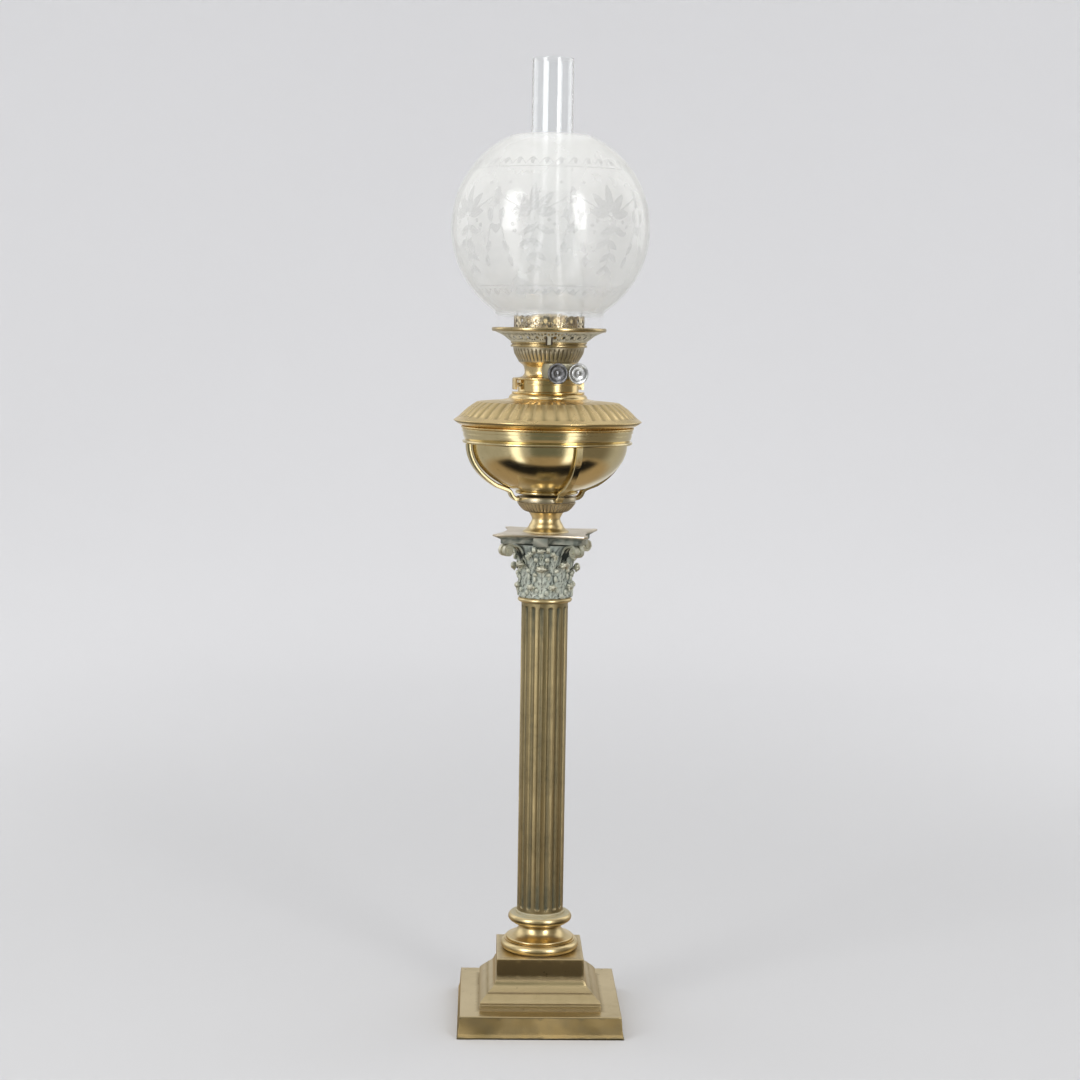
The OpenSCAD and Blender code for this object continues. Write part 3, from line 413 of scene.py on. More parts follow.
class Nodes:
    """Short way to build a material's nodes."""

    def __init__(self, name: str) -> None:
        """Makes an empty material with a shader and an output."""
        self.material = bpy.data.materials.new(name)
        self.material.use_nodes = True
        self.tree = self.material.node_tree
        self.tree.nodes.clear()
        self.shader = self.add("BsdfPrincipled")
        self.output = self.add("OutputMaterial", {"Surface": self.shader.outputs["BSDF"]})
        self.place = self.add("TexCoord").outputs["Object"]

    def add(self, kind: str, inputs: dict[str | int, object] | None = None, **values: object) -> bpy.types.Node:
        """Adds a node.

        Args:
            kind: its type, without the ShaderNode before it. inputs: a socket or a value for each input.
            values: its properties.

        Returns:
            The new node.
        """
        node = self.tree.nodes.new("ShaderNode" + kind)
        for key, value in values.items():
            setattr(node, key, value)
        self.feed(node, inputs or {})
        return node

    def feed(self, node: bpy.types.Node, inputs: dict[str | int, object]) -> None:
        """Joins inputs of a node to sockets, or sets them to numbers and colours."""
        for key, value in inputs.items():
            socket = node.inputs[key]
            if isinstance(value, Socket):
                self.tree.links.new(value, socket)
            else:
                socket.default_value = (*value, 1.0) if socket.type == "RGBA" else value

    def shade(self, inputs: dict[str | int, object]) -> None:
        """Feeds the shader's inputs."""
        self.feed(self.shader, inputs)

    def speckle(self, scale: float, detail: float = 4.0, stretch: Triple = (1, 1, 1), seed: float = 0.0) -> Socket:
        """Cloudy noise in the object's own place, with features of 1/scale metres."""
        shift = {"Vector": self.place, "Scale": stretch, "Location": (seed, seed * 0.7, seed * 1.3)}
        moved = self.add("Mapping", shift).outputs["Vector"]
        cloud = {"Vector": moved, "Scale": scale, "Detail": detail, "Roughness": 0.6}
        return self.add("TexNoise", cloud).outputs["Fac"]

    def ramp(self, value: Socket, low: float, high: float) -> Socket:
        """Stretches a range to 0..1."""
        limits = {"Value": value, "From Min": low, "From Max": high}
        return self.add("MapRange", limits, interpolation_type="SMOOTHSTEP").outputs["Result"]

    def scaled(self, value: Socket, low: float, high: float) -> Socket:
        """Maps 0..1 to a range."""
        return self.add("MapRange", {"Value": value, "To Min": low, "To Max": high}).outputs["Result"]

    def math(self, kind: str, a: object, b: object) -> Socket:
        """Arithmetic on sockets or numbers. Sums and products stay within 0..1."""
        return self.add("Math", {0: a, 1: b}, operation=kind, use_clamp=kind in ("ADD", "MULTIPLY")).outputs[0]

    def times(self, a: object, b: object) -> Socket:
        """Product within 0..1."""
        return self.math("MULTIPLY", a, b)

    def plus(self, a: object, b: object) -> Socket:
        """Sum within 0..1."""
        return self.math("ADD", a, b)

    def mix(self, factor: Socket, a: object, b: object) -> Socket:
        """Blends two colours, given as sockets or as numbers."""
        return self.add("Mix", {"Factor": factor, 6: a, 7: b}, data_type="RGBA").outputs[2]

    def stored(self, name: str) -> Socket:
        """A number stored on the mesh."""
        return self.add("Attribute", attribute_name=name).outputs["Fac"]

    def bump(self, height: Socket, depth: float, strength: float) -> None:
        """Adds fine relief of a depth in mm to the shader."""
        node = self.add("Bump", {"Distance": depth * MM, "Strength": strength, "Height": height})
        self.shade({"Normal": node.outputs["Normal"]})


@dataclass(frozen=True)
class BrassFinish:
    """Brass with tarnish clouds, grime spots, a darker colour in its hollows, and fine marks. The hollow colour is
    real deposit on some pieces and painted shade on others.
    """

    name: str
    clean: Triple
    tarnish: Triple
    grime_and_shade: Triple
    rough: tuple[float, float]
    cloud: float
    spread: tuple[float, float] = (0.3, 0.7)
    turned: float = 0.0
    scratch: float = 0.3
    grain: float = 0.05
    dull: float | None = None
    creases: Triple | None = None

    def make(self) -> Material:
        """Builds the material. With dull set, it reads the hollow mark stored on the mesh and darkens and dulls the
        brass there: real deposit on some pieces, painted shade on others.
        """
        n = Nodes(self.name)
        clouds = n.ramp(n.speckle(self.cloud, 6.0), *self.spread)
        fine = n.ramp(n.speckle(self.cloud * 9, 5.0, seed=3.1), 0.42, 0.72)
        patch = n.times(clouds, n.scaled(fine, 0.6, 1.0))
        colour = n.mix(patch, self.clean, self.tarnish)
        spots = n.ramp(n.speckle(self.cloud * 22, 2.0, seed=8.8), 0.68, 0.76)
        colour = n.mix(n.times(spots, 0.45), colour, self.grime_and_shade)
        rough, metal = n.scaled(patch, *self.rough), 1.0
        # The hollow mark is painted shade where it stands for shadow in corners, recesses, grooves and under edges,
        # and real deposit where it stands for patina.
        if self.dull is not None:
            worn = n.scaled(n.speckle(self.cloud * 5, 5.0, seed=5.5), 0.45, 1.35)
            hollow = n.times(n.stored("hollow"), worn)
            colour = n.mix(hollow, colour, self.grime_and_shade)
            rough = n.plus(rough, n.times(hollow, 0.4))
            metal = n.scaled(hollow, 1.0, 1.0 - self.dull)
        # The crease colour is painted shade on the capital and beside the gallery tab, satin brass on the plinth's
        # upright faces and dark specks on the coronet.
        if self.creases:
            colour = n.mix(n.stored("crease"), colour, self.creases)
        scratches = n.ramp(n.speckle(70, 3.0, (1.0, 9.0, 0.7), 1.7), 0.62, 0.72)
        rough = n.plus(rough, n.times(scratches, self.scratch * 0.3))
        n.shade({"Base Color": colour, "Roughness": rough, "Metallic": metal})
        height = n.times(n.speckle(self.cloud * 14, 4.0, seed=2.2), self.grain * 10)
        if self.turned:
            lines = n.speckle(420, 2.0, (0.02, 0.02, 1.0), 4.4)
            height = n.plus(height, n.times(lines, self.turned))
        n.bump(height, 0.12, 0.6)
        return n.material


@dataclass(frozen=True)
class MetalFinish:
    """Grey metal, dull and slightly scratched."""

    name: str
    clean: Triple
    stained: Triple
    rough: tuple[float, float]

    def make(self) -> Material:
        """Builds the material."""
        n = Nodes(self.name)
        clouds = n.ramp(n.speckle(160, 5.0), 0.35, 0.7)
        colour = n.mix(clouds, self.clean, self.stained)
        n.shade({"Base Color": colour, "Roughness": n.scaled(clouds, *self.rough), "Metallic": 1.0})
        n.bump(n.speckle(1500, 3.0), 0.03, 0.4)
        return n.material


@dataclass(frozen=True)
class CottonFinish:
    """Flat woven wick, charred at its top end."""

    name: str = "cotton_wick"
    char_height: float = 0.665

    def make(self) -> Material:
        """Builds the material."""
        n = Nodes(self.name)
        weave = n.speckle(900, 2.0, (1.0, 1.0, 0.35))
        height = n.add("SeparateXYZ", {"Vector": n.place}).outputs["Z"]
        char = n.ramp(height, self.char_height - 0.002, self.char_height + 0.001)
        cloth = n.mix(weave, (0.78, 0.72, 0.58), (0.60, 0.52, 0.38))
        n.shade({"Base Color": n.mix(char, cloth, (0.03, 0.025, 0.02)), "Roughness": 0.9})
        n.bump(weave, 0.3, 0.8)
        return n.material


@dataclass(frozen=True)
class ClearGlass:
    """Thin blown glass."""

    name: str

    def make(self) -> Material:
        """Builds the material."""
        n = Nodes(self.name)
        n.shade({
            "Base Color": (0.97, 0.98, 0.98),
            "Transmission Weight": 1.0,
            "IOR": 1.12,
            "Roughness": 0.0,
            "Coat Weight": 1.0,
            "Coat Roughness": 0.05,
            "Coat IOR": 1.5,
        })
        return n.material


@dataclass(frozen=True)
class EtchedGlass:
    """Acid frosted glass with a clearer pattern and a clear neck."""

    name: str
    frost: float = 0.33
    etched: float = 0.23
    bare: float = 0.02
    glaze: float = 2.2

    def make(self) -> Material:
        """Builds the material."""
        n = Nodes(self.name)
        leaf = n.ramp(n.stored("etch"), -0.3, 0.3)
        rib = n.ramp(n.stored("rib"), 0.75, 0.2)
        drawn = n.times(leaf, n.scaled(rib, 1.0, 0.25))
        drawn = n.times(drawn, n.scaled(n.speckle(700, 3.0, seed=2.7), 0.7, 1.2))
        veil = n.scaled(drawn, self.frost, self.etched)
        veil = n.times(veil, n.scaled(n.speckle(28, 5.0), 0.8, 1.15))
        grazing = n.add("LayerWeight", {"Blend": 0.25}).outputs["Facing"]
        veil = n.plus(veil, n.scaled(grazing, 0.0, 0.1))
        clear = n.stored("clear")
        n.shade({
            "Base Color": n.mix(drawn, (0.86, 0.86, 0.83), (0.46, 0.465, 0.46)),
            "Alpha": n.mix(clear, veil, (self.bare, self.bare, self.bare)),
            "Roughness": n.scaled(clear, 0.5, 0.03),
            "Coat Weight": n.stored("outer"),
            "Coat Roughness": 0.11,
            "Coat IOR": self.glaze,
        })
        n.bump(n.speckle(1800, 2.0), 0.05, 0.35)
        return n.material


class Palette:
    """Every finish of the lamp."""

    def __init__(self) -> None:
        """Builds the materials."""
        # The plinth's dark hollow colour is painted shade in the steps' corners and underneath.
        self.plinth = BrassFinish(
            "plinth_brass", (0.66, 0.53, 0.30), (0.49, 0.39, 0.21), (0.14, 0.10, 0.05), rough=(0.27, 0.42),
            cloud=9.0, spread=(0.25, 0.8), scratch=0.4, grain=0.03, dull=0.8, creases=(0.58, 0.42, 0.18),
        ).make()
        # Dark hollow colour: painted shade in the flutes, and dark green deposit near the shaft's ends.
        self.column = BrassFinish(
            "column_brass", (0.52, 0.41, 0.22), (0.30, 0.24, 0.13), (0.10, 0.11, 0.08), rough=(0.3, 0.5),
            cloud=20.0, grain=0.06, dull=0.4,
        ).make()
        self.turned = BrassFinish(
            "turned_brass", (0.80, 0.61, 0.30), (0.60, 0.46, 0.23), (0.22, 0.16, 0.08), rough=(0.2, 0.34),
            cloud=22.0, spread=(0.35, 0.8), turned=0.5, grain=0.03,
        ).make()
        self.satin = BrassFinish(
            "satin_brass", (0.78, 0.62, 0.34), (0.60, 0.48, 0.26), (0.45, 0.44, 0.34), rough=(0.28, 0.42),
            cloud=22.0, spread=(0.3, 0.8), turned=0.4, grain=0.03, dull=0.6,
        ).make()
        # The capital's near-black crease colour is painted shade in the leaves' creases and in the gaps between the
        # corner stalks and the bell; its hollow colour is real verdigris.
        self.capital = BrassFinish(
            "capital_brass", (0.76, 0.72, 0.58), (0.60, 0.62, 0.53), (0.50, 0.55, 0.50), rough=(0.4, 0.6),
            cloud=60.0, spread=(0.25, 0.65), grain=0.10, dull=0.8, creases=(0.05, 0.06, 0.055),
        ).make()
        self.abacus = BrassFinish(
            "abacus_brass", (0.78, 0.69, 0.56), (0.60, 0.53, 0.42), (0.25, 0.29, 0.25), rough=(0.3, 0.48),
            cloud=30.0, scratch=0.4, dull=0.6, creases=(0.10, 0.12, 0.105),
        ).make()
        self.font = BrassFinish(
            "font_brass", (0.78, 0.65, 0.38), (0.60, 0.50, 0.28), (0.30, 0.24, 0.12), rough=(0.13, 0.26),
            cloud=12.0, spread=(0.3, 0.8), turned=0.3, grain=0.03,
        ).make()
        # Its dark hollow colour is painted shade under the lip.
        self.shoulder = BrassFinish(
            "shoulder_brass", (0.82, 0.63, 0.32), (0.66, 0.51, 0.26), (0.30, 0.25, 0.13), rough=(0.25, 0.36),
            cloud=22.0, spread=(0.3, 0.75), scratch=0.35, grain=0.04, dull=0.1,
        ).make()
        self.burner = BrassFinish(
            "burner_brass", (0.76, 0.58, 0.30), (0.54, 0.42, 0.23), (0.18, 0.14, 0.08), rough=(0.2, 0.4),
            cloud=40.0, turned=0.2, dull=0.2,
        ).make()
        # Its near-black hollow colour is painted shade between the reeds of the cup and the air bowl, and inside
        # the cup.
        self.reeded = BrassFinish(
            "reeded_brass", (0.66, 0.58, 0.42), (0.42, 0.35, 0.23), (0.07, 0.05, 0.03), rough=(0.28, 0.45),
            cloud=40.0, dull=0.2,
        ).make()
        self.rim = BrassFinish(
            "rim_brass", (0.56, 0.44, 0.24), (0.40, 0.32, 0.18), (0.18, 0.13, 0.07), rough=(0.22, 0.4),
            cloud=40.0, turned=0.2, grain=0.04,
        ).make()
        # Its crease colour is painted shade beside the gallery tab.
        self.gallery = BrassFinish(
            "gallery_brass", (0.74, 0.69, 0.54), (0.50, 0.46, 0.34), (0.64, 0.63, 0.53), rough=(0.3, 0.48),
            cloud=90.0, spread=(0.35, 0.65), grain=0.08, dull=1.0, creases=(0.09, 0.07, 0.05),
        ).make()
        self.coronet = BrassFinish(
            "coronet_brass", (0.76, 0.66, 0.46), (0.44, 0.31, 0.18), (0.12, 0.09, 0.05), rough=(0.2, 0.42),
            cloud=120.0, spread=(0.42, 0.58), grain=0.08, dull=0.2, creases=(0.05, 0.035, 0.02),
        ).make()
        self.cast = BrassFinish(
            "cast_brass", (0.58, 0.53, 0.38), (0.42, 0.40, 0.30), (0.24, 0.24, 0.17), rough=(0.36, 0.5),
            cloud=50.0, grain=0.06, dull=0.5,
        ).make()
        self.steel = MetalFinish("dull_nickel", (0.50, 0.50, 0.49), (0.30, 0.29, 0.28), (0.2, 0.4)).make()
        # Shaded and lit copies of one knob nickel: painted shade makes the left knob dark, painted light makes the
        # right one pale.
        self.shaded_knob = MetalFinish("knob_nickel_painted_shade", (0.20, 0.20, 0.21), (0.09, 0.09, 0.095), (0.3, 0.45)).make()
        self.lit_knob = MetalFinish("knob_nickel_painted_light", (0.52, 0.53, 0.53), (0.30, 0.30, 0.31), (0.3, 0.45)).make()
        self.rod = MetalFinish("rod_steel", (0.30, 0.28, 0.26), (0.18, 0.13, 0.09), (0.3, 0.6)).make()
        self.cotton = CottonFinish().make()
        self.clear = ClearGlass("chimney_glass").make()
        self.frosted = EtchedGlass("globe_glass").make()


def coat(node: str, material: Material) -> None:
    """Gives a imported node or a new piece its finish."""
    materials = bpy.data.objects[node].data.materials
    materials.clear()
    materials.append(material)
    LOG.info("%s coated", node)


def dress(obj: Object, material: Material, body: str, node: str) -> None:
    """Gives a piece its finish, its body and the node that it stands for."""
    coat(obj.name, material)
    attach(obj, body)
    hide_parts(node)
    LOG.info("%s rides on %s", obj.name, body)


# ---------------------------------------------------------------- stand


@dataclass
class Plinth:
    """Square stepped casting under the column."""

    palette: Palette
    round_off: float = 0.45
    dent_depth: float = 0.5

    def build(self) -> None:
        """Builds and dresses the plinth."""
        obj = bevelled("plinth", "plinth_casting", self.round_off, 2, 5.0)
        self.wear(obj)
        mark(obj, "hollow", self.hollow)
        mark(obj, "crease", self.front)
        dress(obj, self.palette.plinth, "stand", "plinth")

    def wear(self, obj: Object) -> None:
        """Presses small knocks into the two front corners of the plate."""
        spots = [(-77.6, -77.6, 12.0, 3.2), (-76.4, -77.4, 19.5, 2.2),
                 (-74.0, -78.4, 2.0, 1.8), (77.0, -77.0, 20.5, 1.8)]
        for v in obj.data.vertices:
            for x, y, z, reach in spots:
                away = (v.co / MM - Vector((x, y, z))).length / reach
                if away < 1:
                    v.co += Vector((-x, -y, 0)).normalized() * self.dent_depth * (1 - away) * MM

    @staticmethod
    def upright(side: float, z: float) -> tuple[bool, bool]:
        """Whether a point is on the upright faces of the plate, and on those of the die."""
        return side > 76.0 and 1.4 < z < 20.4, 36 < side < 38.5 and 47.0 < z < 65.5

    @staticmethod
    def front(p: Vector) -> float:
        """Satin patches on the upright faces of the plate and the die."""
        plate, die = Plinth.upright(max(abs(p.x), abs(p.y)), p.z)
        patch = noise.noise(p * 0.09)
        return min(1.0, 0.85 + 0.5 * patch) if plate else 0.5 + 0.4 * patch if die else 0.0

    @staticmethod
    def hollow(p: Vector) -> float:
        """Painted shade: how sheltered a point is, in the steps' inner corners and underneath. The upright faces
        also get a patchy share, which dulls and darkens them.
        """
        side = max(abs(p.x), abs(p.y))
        corners = [(57.5, 21.2, 4.0), (56.7, 27.0, 3.0), (50.0, 35.6, 3.0), (41.5, 46.2, 3.4), (37.5, 66.2, 2.6)]
        near = max(max(0.0, 1 - math.hypot(side - s, p.z - z) / r) for s, z, r in corners)
        inside = side < 75.0 and p.z < 20 or side < 36 and p.z < 65 or side < 49 and p.z < 34
        cloud = 0.75 + 0.5 * noise.noise(p * 0.06)
        upright = 0.5 * cloud if any(Plinth.upright(side, p.z)) else 0.0
        return min(1.0, near * 0.7 + upright + (0.75 if inside else 0.0))


@dataclass
class ColumnBase:
    """Turned base with two rounds and a hollow between them."""

    palette: Palette
    radius: float = 37.5
    low: float = 4.5
    high_radius: float = 30.6
    high: float = 4.2

    def outline(self) -> list[Point]:
        """Outline above the plinth, from the middle outwards and up."""
        waist = smooth([(30.5, 12.5), (26.1, 14.3), (22.3, 17.5), (20.1, 22.0), (21.7, 24.4), (25.5, 26.0)])
        points = [(ROD_HOLE, 0.0)]
        points += arc(self.radius - self.low, self.low, self.low, self.low, -90, 78, 16)
        points += [(34.2, 9.1), (34.2, 10.2)]
        points += arc(31.4, 11.4, 1.1, 1.1, -85, 80, 8) + waist
        points += [(26.5, 26.1), (26.5, 27.0)]
        points += arc(self.high_radius - self.high, 27 + self.high, self.high, self.high, -85, 85, 16)
        points += [(23.5, 35.5), (23.5, 37.5), (23.0, 38.0), (ROD_HOLE, 38.0)]
        return points

    def build(self) -> None:
        """Builds and dresses the base."""
        obj = revolve("column_base_turned", raised(self.outline(), Z_BASE), 200)
        mark(obj, "hollow", lambda p: 0.75 if p.z > Z_BASE + 34.6 else 0.5 if p.z < Z_BASE + 1.2 else 0.0)
        dress(obj, self.palette.satin, "stand", "column_base")


@dataclass
class Column:
    """Fluted hollow shaft."""

    palette: Palette
    radius: float = 22.2
    flutes: int = 16
    flute_radius: float = 2.9
    depth: float = 1.7
    plain_end: float = 3.0
    wall: float = 4.0
    height: float = 300.0

    def sunk(self, turn: float, z: float) -> float:
        """Depth of the flutes at a turn and a height, in mm."""
        pitch = 2 * math.pi / self.flutes
        off = ((turn - COLUMN_TURN + pitch / 2) % pitch - pitch / 2) * self.radius
        ends = min(z - Z_COLUMN, Z_NECK - z) - self.plain_end
        half = self.flute_radius - 0.25
        if ends < half:
            off = math.hypot(off, half - ends)
        inner = self.flute_radius**2 - off**2
        return max(0.0, math.sqrt(inner) - (self.flute_radius - self.depth)) if inner > 0 else 0.0

    def build(self) -> None:
        """Builds the shaft with round ended flutes, and dresses it."""
        heights = [self.plain_end + 0.3 * i for i in range(13)]
        levels = [0.0, 1.4] + heights + [12 + 8 * i for i in range(35)]
        levels += [self.height - h for h in heights] + [self.height - 1.4, self.height]
        outline = [(self.radius, Z_COLUMN + h) for h in sorted(set(round(x, 3) for x in levels))]
        inner = self.radius - self.wall
        outline += [(inner, Z_NECK), (inner, Z_COLUMN)]

        def shape(turn: float, r: float, p: Spot) -> tuple[float, float]:
            """Sinks the flutes into the outer face."""
            return (r - self.sunk(turn, p.y), p.y) if r > inner else (r, p.y)

        obj = revolve("column_shaft", outline, self.flutes * 20, shape, 30.0)
        mark(obj, "hollow", self.hollow)
        dress(obj, self.palette.column, "stand", "column")

    def hollow(self, p: Vector) -> float:
        """Darker in the flutes: painted shade all along them, and dark green deposit that is thicker near both
        ends.
        """
        deep = clamp((self.radius - 0.2 - math.hypot(p.x, p.y)) / self.depth)
        end = max(0.0, 1 - min(p.z - Z_COLUMN, Z_NECK - p.z) / 42)
        streak = 0.5 + 0.5 * noise.noise(Vector((math.atan2(p.y, p.x) * 9, 0.0, p.z * 0.02)))
        return min(1.0, deep * (0.36 + 0.34 * streak + 0.55 * end) + 0.16 * end)


@dataclass
class Capital:
    """Bell with two rows of leaves, corner scrolls and flowers under a curved abacus."""

    palette: Palette
    bell: float = 24.2
    height: float = 53.0
    leaves: int = 8

    def bell_radius(self, h: float) -> float:
        """Radius of the bell at a height above its foot."""
        t = max(0.0, h / self.height)
        return self.bell - 1.6 * math.sin(min(1.0, t * 1.6) * math.pi) * 0.5 + 8.8 * t**5

    def leaf(self, bm: BMesh, turn: float, foot: float, tip_h: float, tip_r: float, width: float) -> None:
        """Adds one lobed leaf that hugs the bell and curls out at its tip.

        Args:
            bm: the mesh. turn: its place round the bell. foot, tip_h: heights. tip_r: reach. width: widest width.
        """
        across, along, thick = 18, 26, 1.3
        bend, tip = 0.82, 0.18
        front, back = [], []
        for j in range(along + 1):
            t = j / along
            h = foot + (tip_h - foot) * min(1.0, t / bend)
            curl = max(0.0, (t - 0.62) / 0.38)
            root = self.bell_radius(h) + 0.5 + 1.2 * math.sin(math.pi * min(1.0, t / 0.8))
            out = root + (tip_r - root) * math.sin(curl * math.pi * 0.5) ** 1.4
            if t > bend:
                past = (t - bend) / tip
                h = tip_h + 1.2 * math.sin(past * math.pi) - 3.4 * past**2
            lobes = 0.80 + 0.20 * abs(math.cos(t * math.pi * 3.6))
            taper = (1 - 0.32 * t) * (1.0 if t < 0.80 else 1 - 0.62 * ((t - 0.80) / 0.20) ** 1.5)
            half = width / 2 * lobes * taper
            row_f, row_b = [], []
            for i in range(across + 1):
                u = 2 * i / across - 1
                rib = 0.8 * math.exp(-((u / 0.15) ** 2))
                veins = 0.5 * math.cos(2 * math.pi * (3.6 * t - 1.1 * abs(u))) * min(1.0, abs(u) * 2.4)
                lift = rib + veins + 0.5 * u * u * curl - 0.9 * abs(u) ** 3 * (1 - curl)
                notch = 1.0 + 0.10 * math.sin(t * 36 + (0 if u < 0 else 0.7)) * abs(u) ** 4
                x = u * half * notch
                ang = turn + x / max(out, 1.0)
                drop = -1.0 * abs(u) ** 2 * curl * 2.0
                for row, depth in ((row_f, 0.0), (row_b, thick)):
                    r = out + lift - depth
                    row.append(bm.verts.new(polar(ang, r, Z_BELL + h + drop)))
            front.append(row_f)
            back.append(row_b)
        self.skin(bm, front, back)

    @staticmethod
    def skin(bm: BMesh, front: list, back: list) -> None:
        """Closes two grids of points into one solid leaf."""
        rows, cols = len(front), len(front[0])
        for j in range(rows - 1):
            for i in range(cols - 1):
                bm.faces.new([front[j][i], front[j][i + 1], front[j + 1][i + 1], front[j + 1][i]])
                bm.faces.new([back[j][i], back[j + 1][i], back[j + 1][i + 1], back[j][i + 1]])
            for i in (0, cols - 1):
                bm.faces.new([front[j][i], front[j + 1][i], back[j + 1][i], back[j][i]])
        for j in (0, rows - 1):
            for i in range(cols - 1):
                bm.faces.new([front[j][i], front[j][i + 1], back[j][i + 1], back[j][i]])

    def scroll(self, bm: BMesh, turn: float, reach: float, top: float, radius: float, wide: float) -> None:
        """Adds a stalk that ends in a rolled scroll, in the plane at a turn round the bell.

        Args:
            bm: the mesh. turn: direction. reach: outermost distance. top: height of the scroll's top.
            radius: the scroll's size. wide: its width.
        """
        eye = (reach - radius, top - radius)
        coil = []
        for i in range(40):
            a = math.radians(120 - i * 16)
            r = radius * (1 - i / 46)
            coil.append((eye[0] + r * math.cos(a), eye[1] + r * math.sin(a)))
        stem = smooth([(self.bell_radius(24) - 0.5, 25.0), (self.bell_radius(34) + 1.0, 34.0),
                       (eye[0] - radius * 2.1, top - 4.2), coil[0]])
        path = [outward(turn) * r + UP * (Z_BELL + z) for r, z in stem[:-1] + coil]
        half = wide / 2
        section = [(-half, -0.9), (-half, 0.9), (-half * 0.72, 1.25), (-half * 0.5, 0.7), (half * 0.5, 0.7),
                   (half * 0.72, 1.25), (half, 0.9), (half, -0.9)]
        sweep(bm, path, section, sideways(turn), lambda t: 1.0 - 0.35 * t)

    @staticmethod
    def seat(bm: BMesh, made: list, turn: float, r: float, h: float, tilt: Matrix = Matrix.Identity(3)) -> None:
        """Tilts points, turns them to face outwards and moves them to their place on the bell."""
        bmesh.ops.rotate(bm, verts=made, cent=(0, 0, 0), matrix=Matrix.Rotation(turn, 3, "Z") @ tilt)
        bmesh.ops.translate(bm, verts=made, vec=outward(turn) * r + UP * (Z_BELL + h))

    def bud(self, bm: BMesh, turn: float, r: float, h: float, size: Triple, petals: int = 0) -> None:
        """Adds a rounded leaf tip, bud or flower that faces outwards.

        Args:
            bm: the mesh. turn: direction. r, h: its place. size: half its width, depth and height. petals: notches.
        """
        made = bmesh.ops.create_uvsphere(bm, u_segments=24, v_segments=14, radius=1.0)["verts"]
        for v in made:
            a = math.atan2(v.co.z, v.co.x)
            k = 1 + 0.16 * math.cos(petals * a) * math.hypot(v.co.z, v.co.x) if petals else 1.0
            v.co = Vector((v.co.x * k * size[0], v.co.y * size[1], v.co.z * k * size[2]))
        self.seat(bm, made, turn, r, h)

    def drum(self, bm: BMesh, turn: float, r: float, h: float, radius: float, wide: float) -> None:
        """Adds the round core of a scroll, with its axis across the direction."""
        made = bmesh.ops.create_cone(bm, cap_ends=True, segments=32, radius1=radius, radius2=radius, depth=wide)
        self.seat(bm, made["verts"], turn, r, h, Matrix.Rotation(math.pi / 2, 3, "Y"))

    def build(self) -> None:
        """Builds the capital and the abacus."""
        bm = bmesh.new()
        bore, steps = 16.2, 96
        core = [(self.bell_radius(h), float(h)) for h in range(0, 54, 3)]
        core = [(bore, 0.0)] + core + [(bore, self.height)]
        turns = [2 * math.pi * i / steps for i in range(steps)]
        rings = [[bm.verts.new(polar(a, r, Z_BELL + z)) for r, z in core] for a in turns]
        lace(bm, rings + rings[:1])
        step = 2 * math.pi / self.leaves
        for i in range(self.leaves):
            mid, off = COLUMN_TURN + i * step, COLUMN_TURN + (i + 0.5) * step
            high = 29.6 + 3.6 * (i % 2)
            self.leaf(bm, off, 0.3, 12.0, 27.6, 17.0)
            self.leaf(bm, mid, 2.5, high, 30.4, 19.0)
            self.bud(bm, off, 27.2, 11.4, (3.9, 2.8, 2.9), 5)
            self.bud(bm, mid, 30.2, high - 0.6, (4.9, 3.3, 3.5), 5)
            self.bud(bm, mid, 25.4, 2.9, (3.0, 1.6, 2.4), 5)
            for way in (-1, 1):
                self.bud(bm, off + way * 0.2, 25.6, 7.0 + way, (2.0, 1.5, 2.6))
                self.bud(bm, mid + way * 0.25, 26.6, high - 6.5, (2.4, 1.7, 2.2))
                self.bud(bm, off + way * 0.12, 26.0, 20.0 - way, (1.6, 1.5, 3.2))
        for i in range(4):
            face = COLUMN_TURN + i * math.pi / 2
            corner = face + math.pi / 4
            self.drum(bm, corner, 46.6, 46.2, 4.9, 8.6)
            self.drum(bm, corner, 46.6, 46.2, 1.9, 11.8)
            for way in (-1, 1):
                self.scroll(bm, corner + way * 0.062, 52.8, 52.4, 6.2, 4.6)
                self.scroll(bm, face + way * 0.2, 34.6, 50.4, 3.4, 3.6)
                self.leaf(bm, corner + way * 0.34, 22.0, 42.0, 31.5, 10.0)
                self.bud(bm, face + way * 0.36, 30.6, 43.2, (2.6, 1.8, 2.4), 5)
                self.bud(bm, face + way * 0.19, 28.6, 37.6, (2.2, 1.7, 2.6))
            self.leaf(bm, face, 30.0, 42.6, 30.0, 8.0)
            self.bud(bm, face, 33.0, 46.6, (4.4, 2.4, 2.7), 5)
        obj = finish_mesh("capital_leaves", bm, 50.0)
        points = obj.data.vertices
        lifts = [v.normal * (0.42 * noise.noise(v.co * 420) + 0.2 * noise.noise(v.co * 1100)) for v in points]
        for v, lift in zip(points, lifts):
            v.co += lift * MM
        mark(obj, "hollow", self.hollow)
        # Painted shade: the capital's near-black crease colour darkens the creases found here.
        mark_creases(obj, 0.3)
        # Painted shade: the gaps between the corner stalks and the bell are marked as full creases, so they are
        # coloured near black.
        pits = obj.data.attributes["crease"].data
        for v in obj.data.vertices:
            x, y, h = v.co.x / MM, v.co.y / MM, v.co.z / MM - Z_BELL
            around = (math.atan2(x, -y) - COLUMN_TURN) % (math.pi / 2) - math.pi / 4
            if math.hypot(x, y) < 36 and math.hypot(around * 30, h - 41.5) < 4.2:
                pits[v.index].value = 1.0
        dress(obj, self.palette.capital, "stand", "capital")
        self.build_abacus()

    def hollow(self, p: Vector) -> float:
        """Deposit on the bell and low parts of the leaves; worn tips stay bare."""
        h = p.z - Z_BELL
        out = math.hypot(p.x, p.y) - self.bell_radius(h)
        return clamp(1.0 - out / 5.4) * 0.9 + 0.08

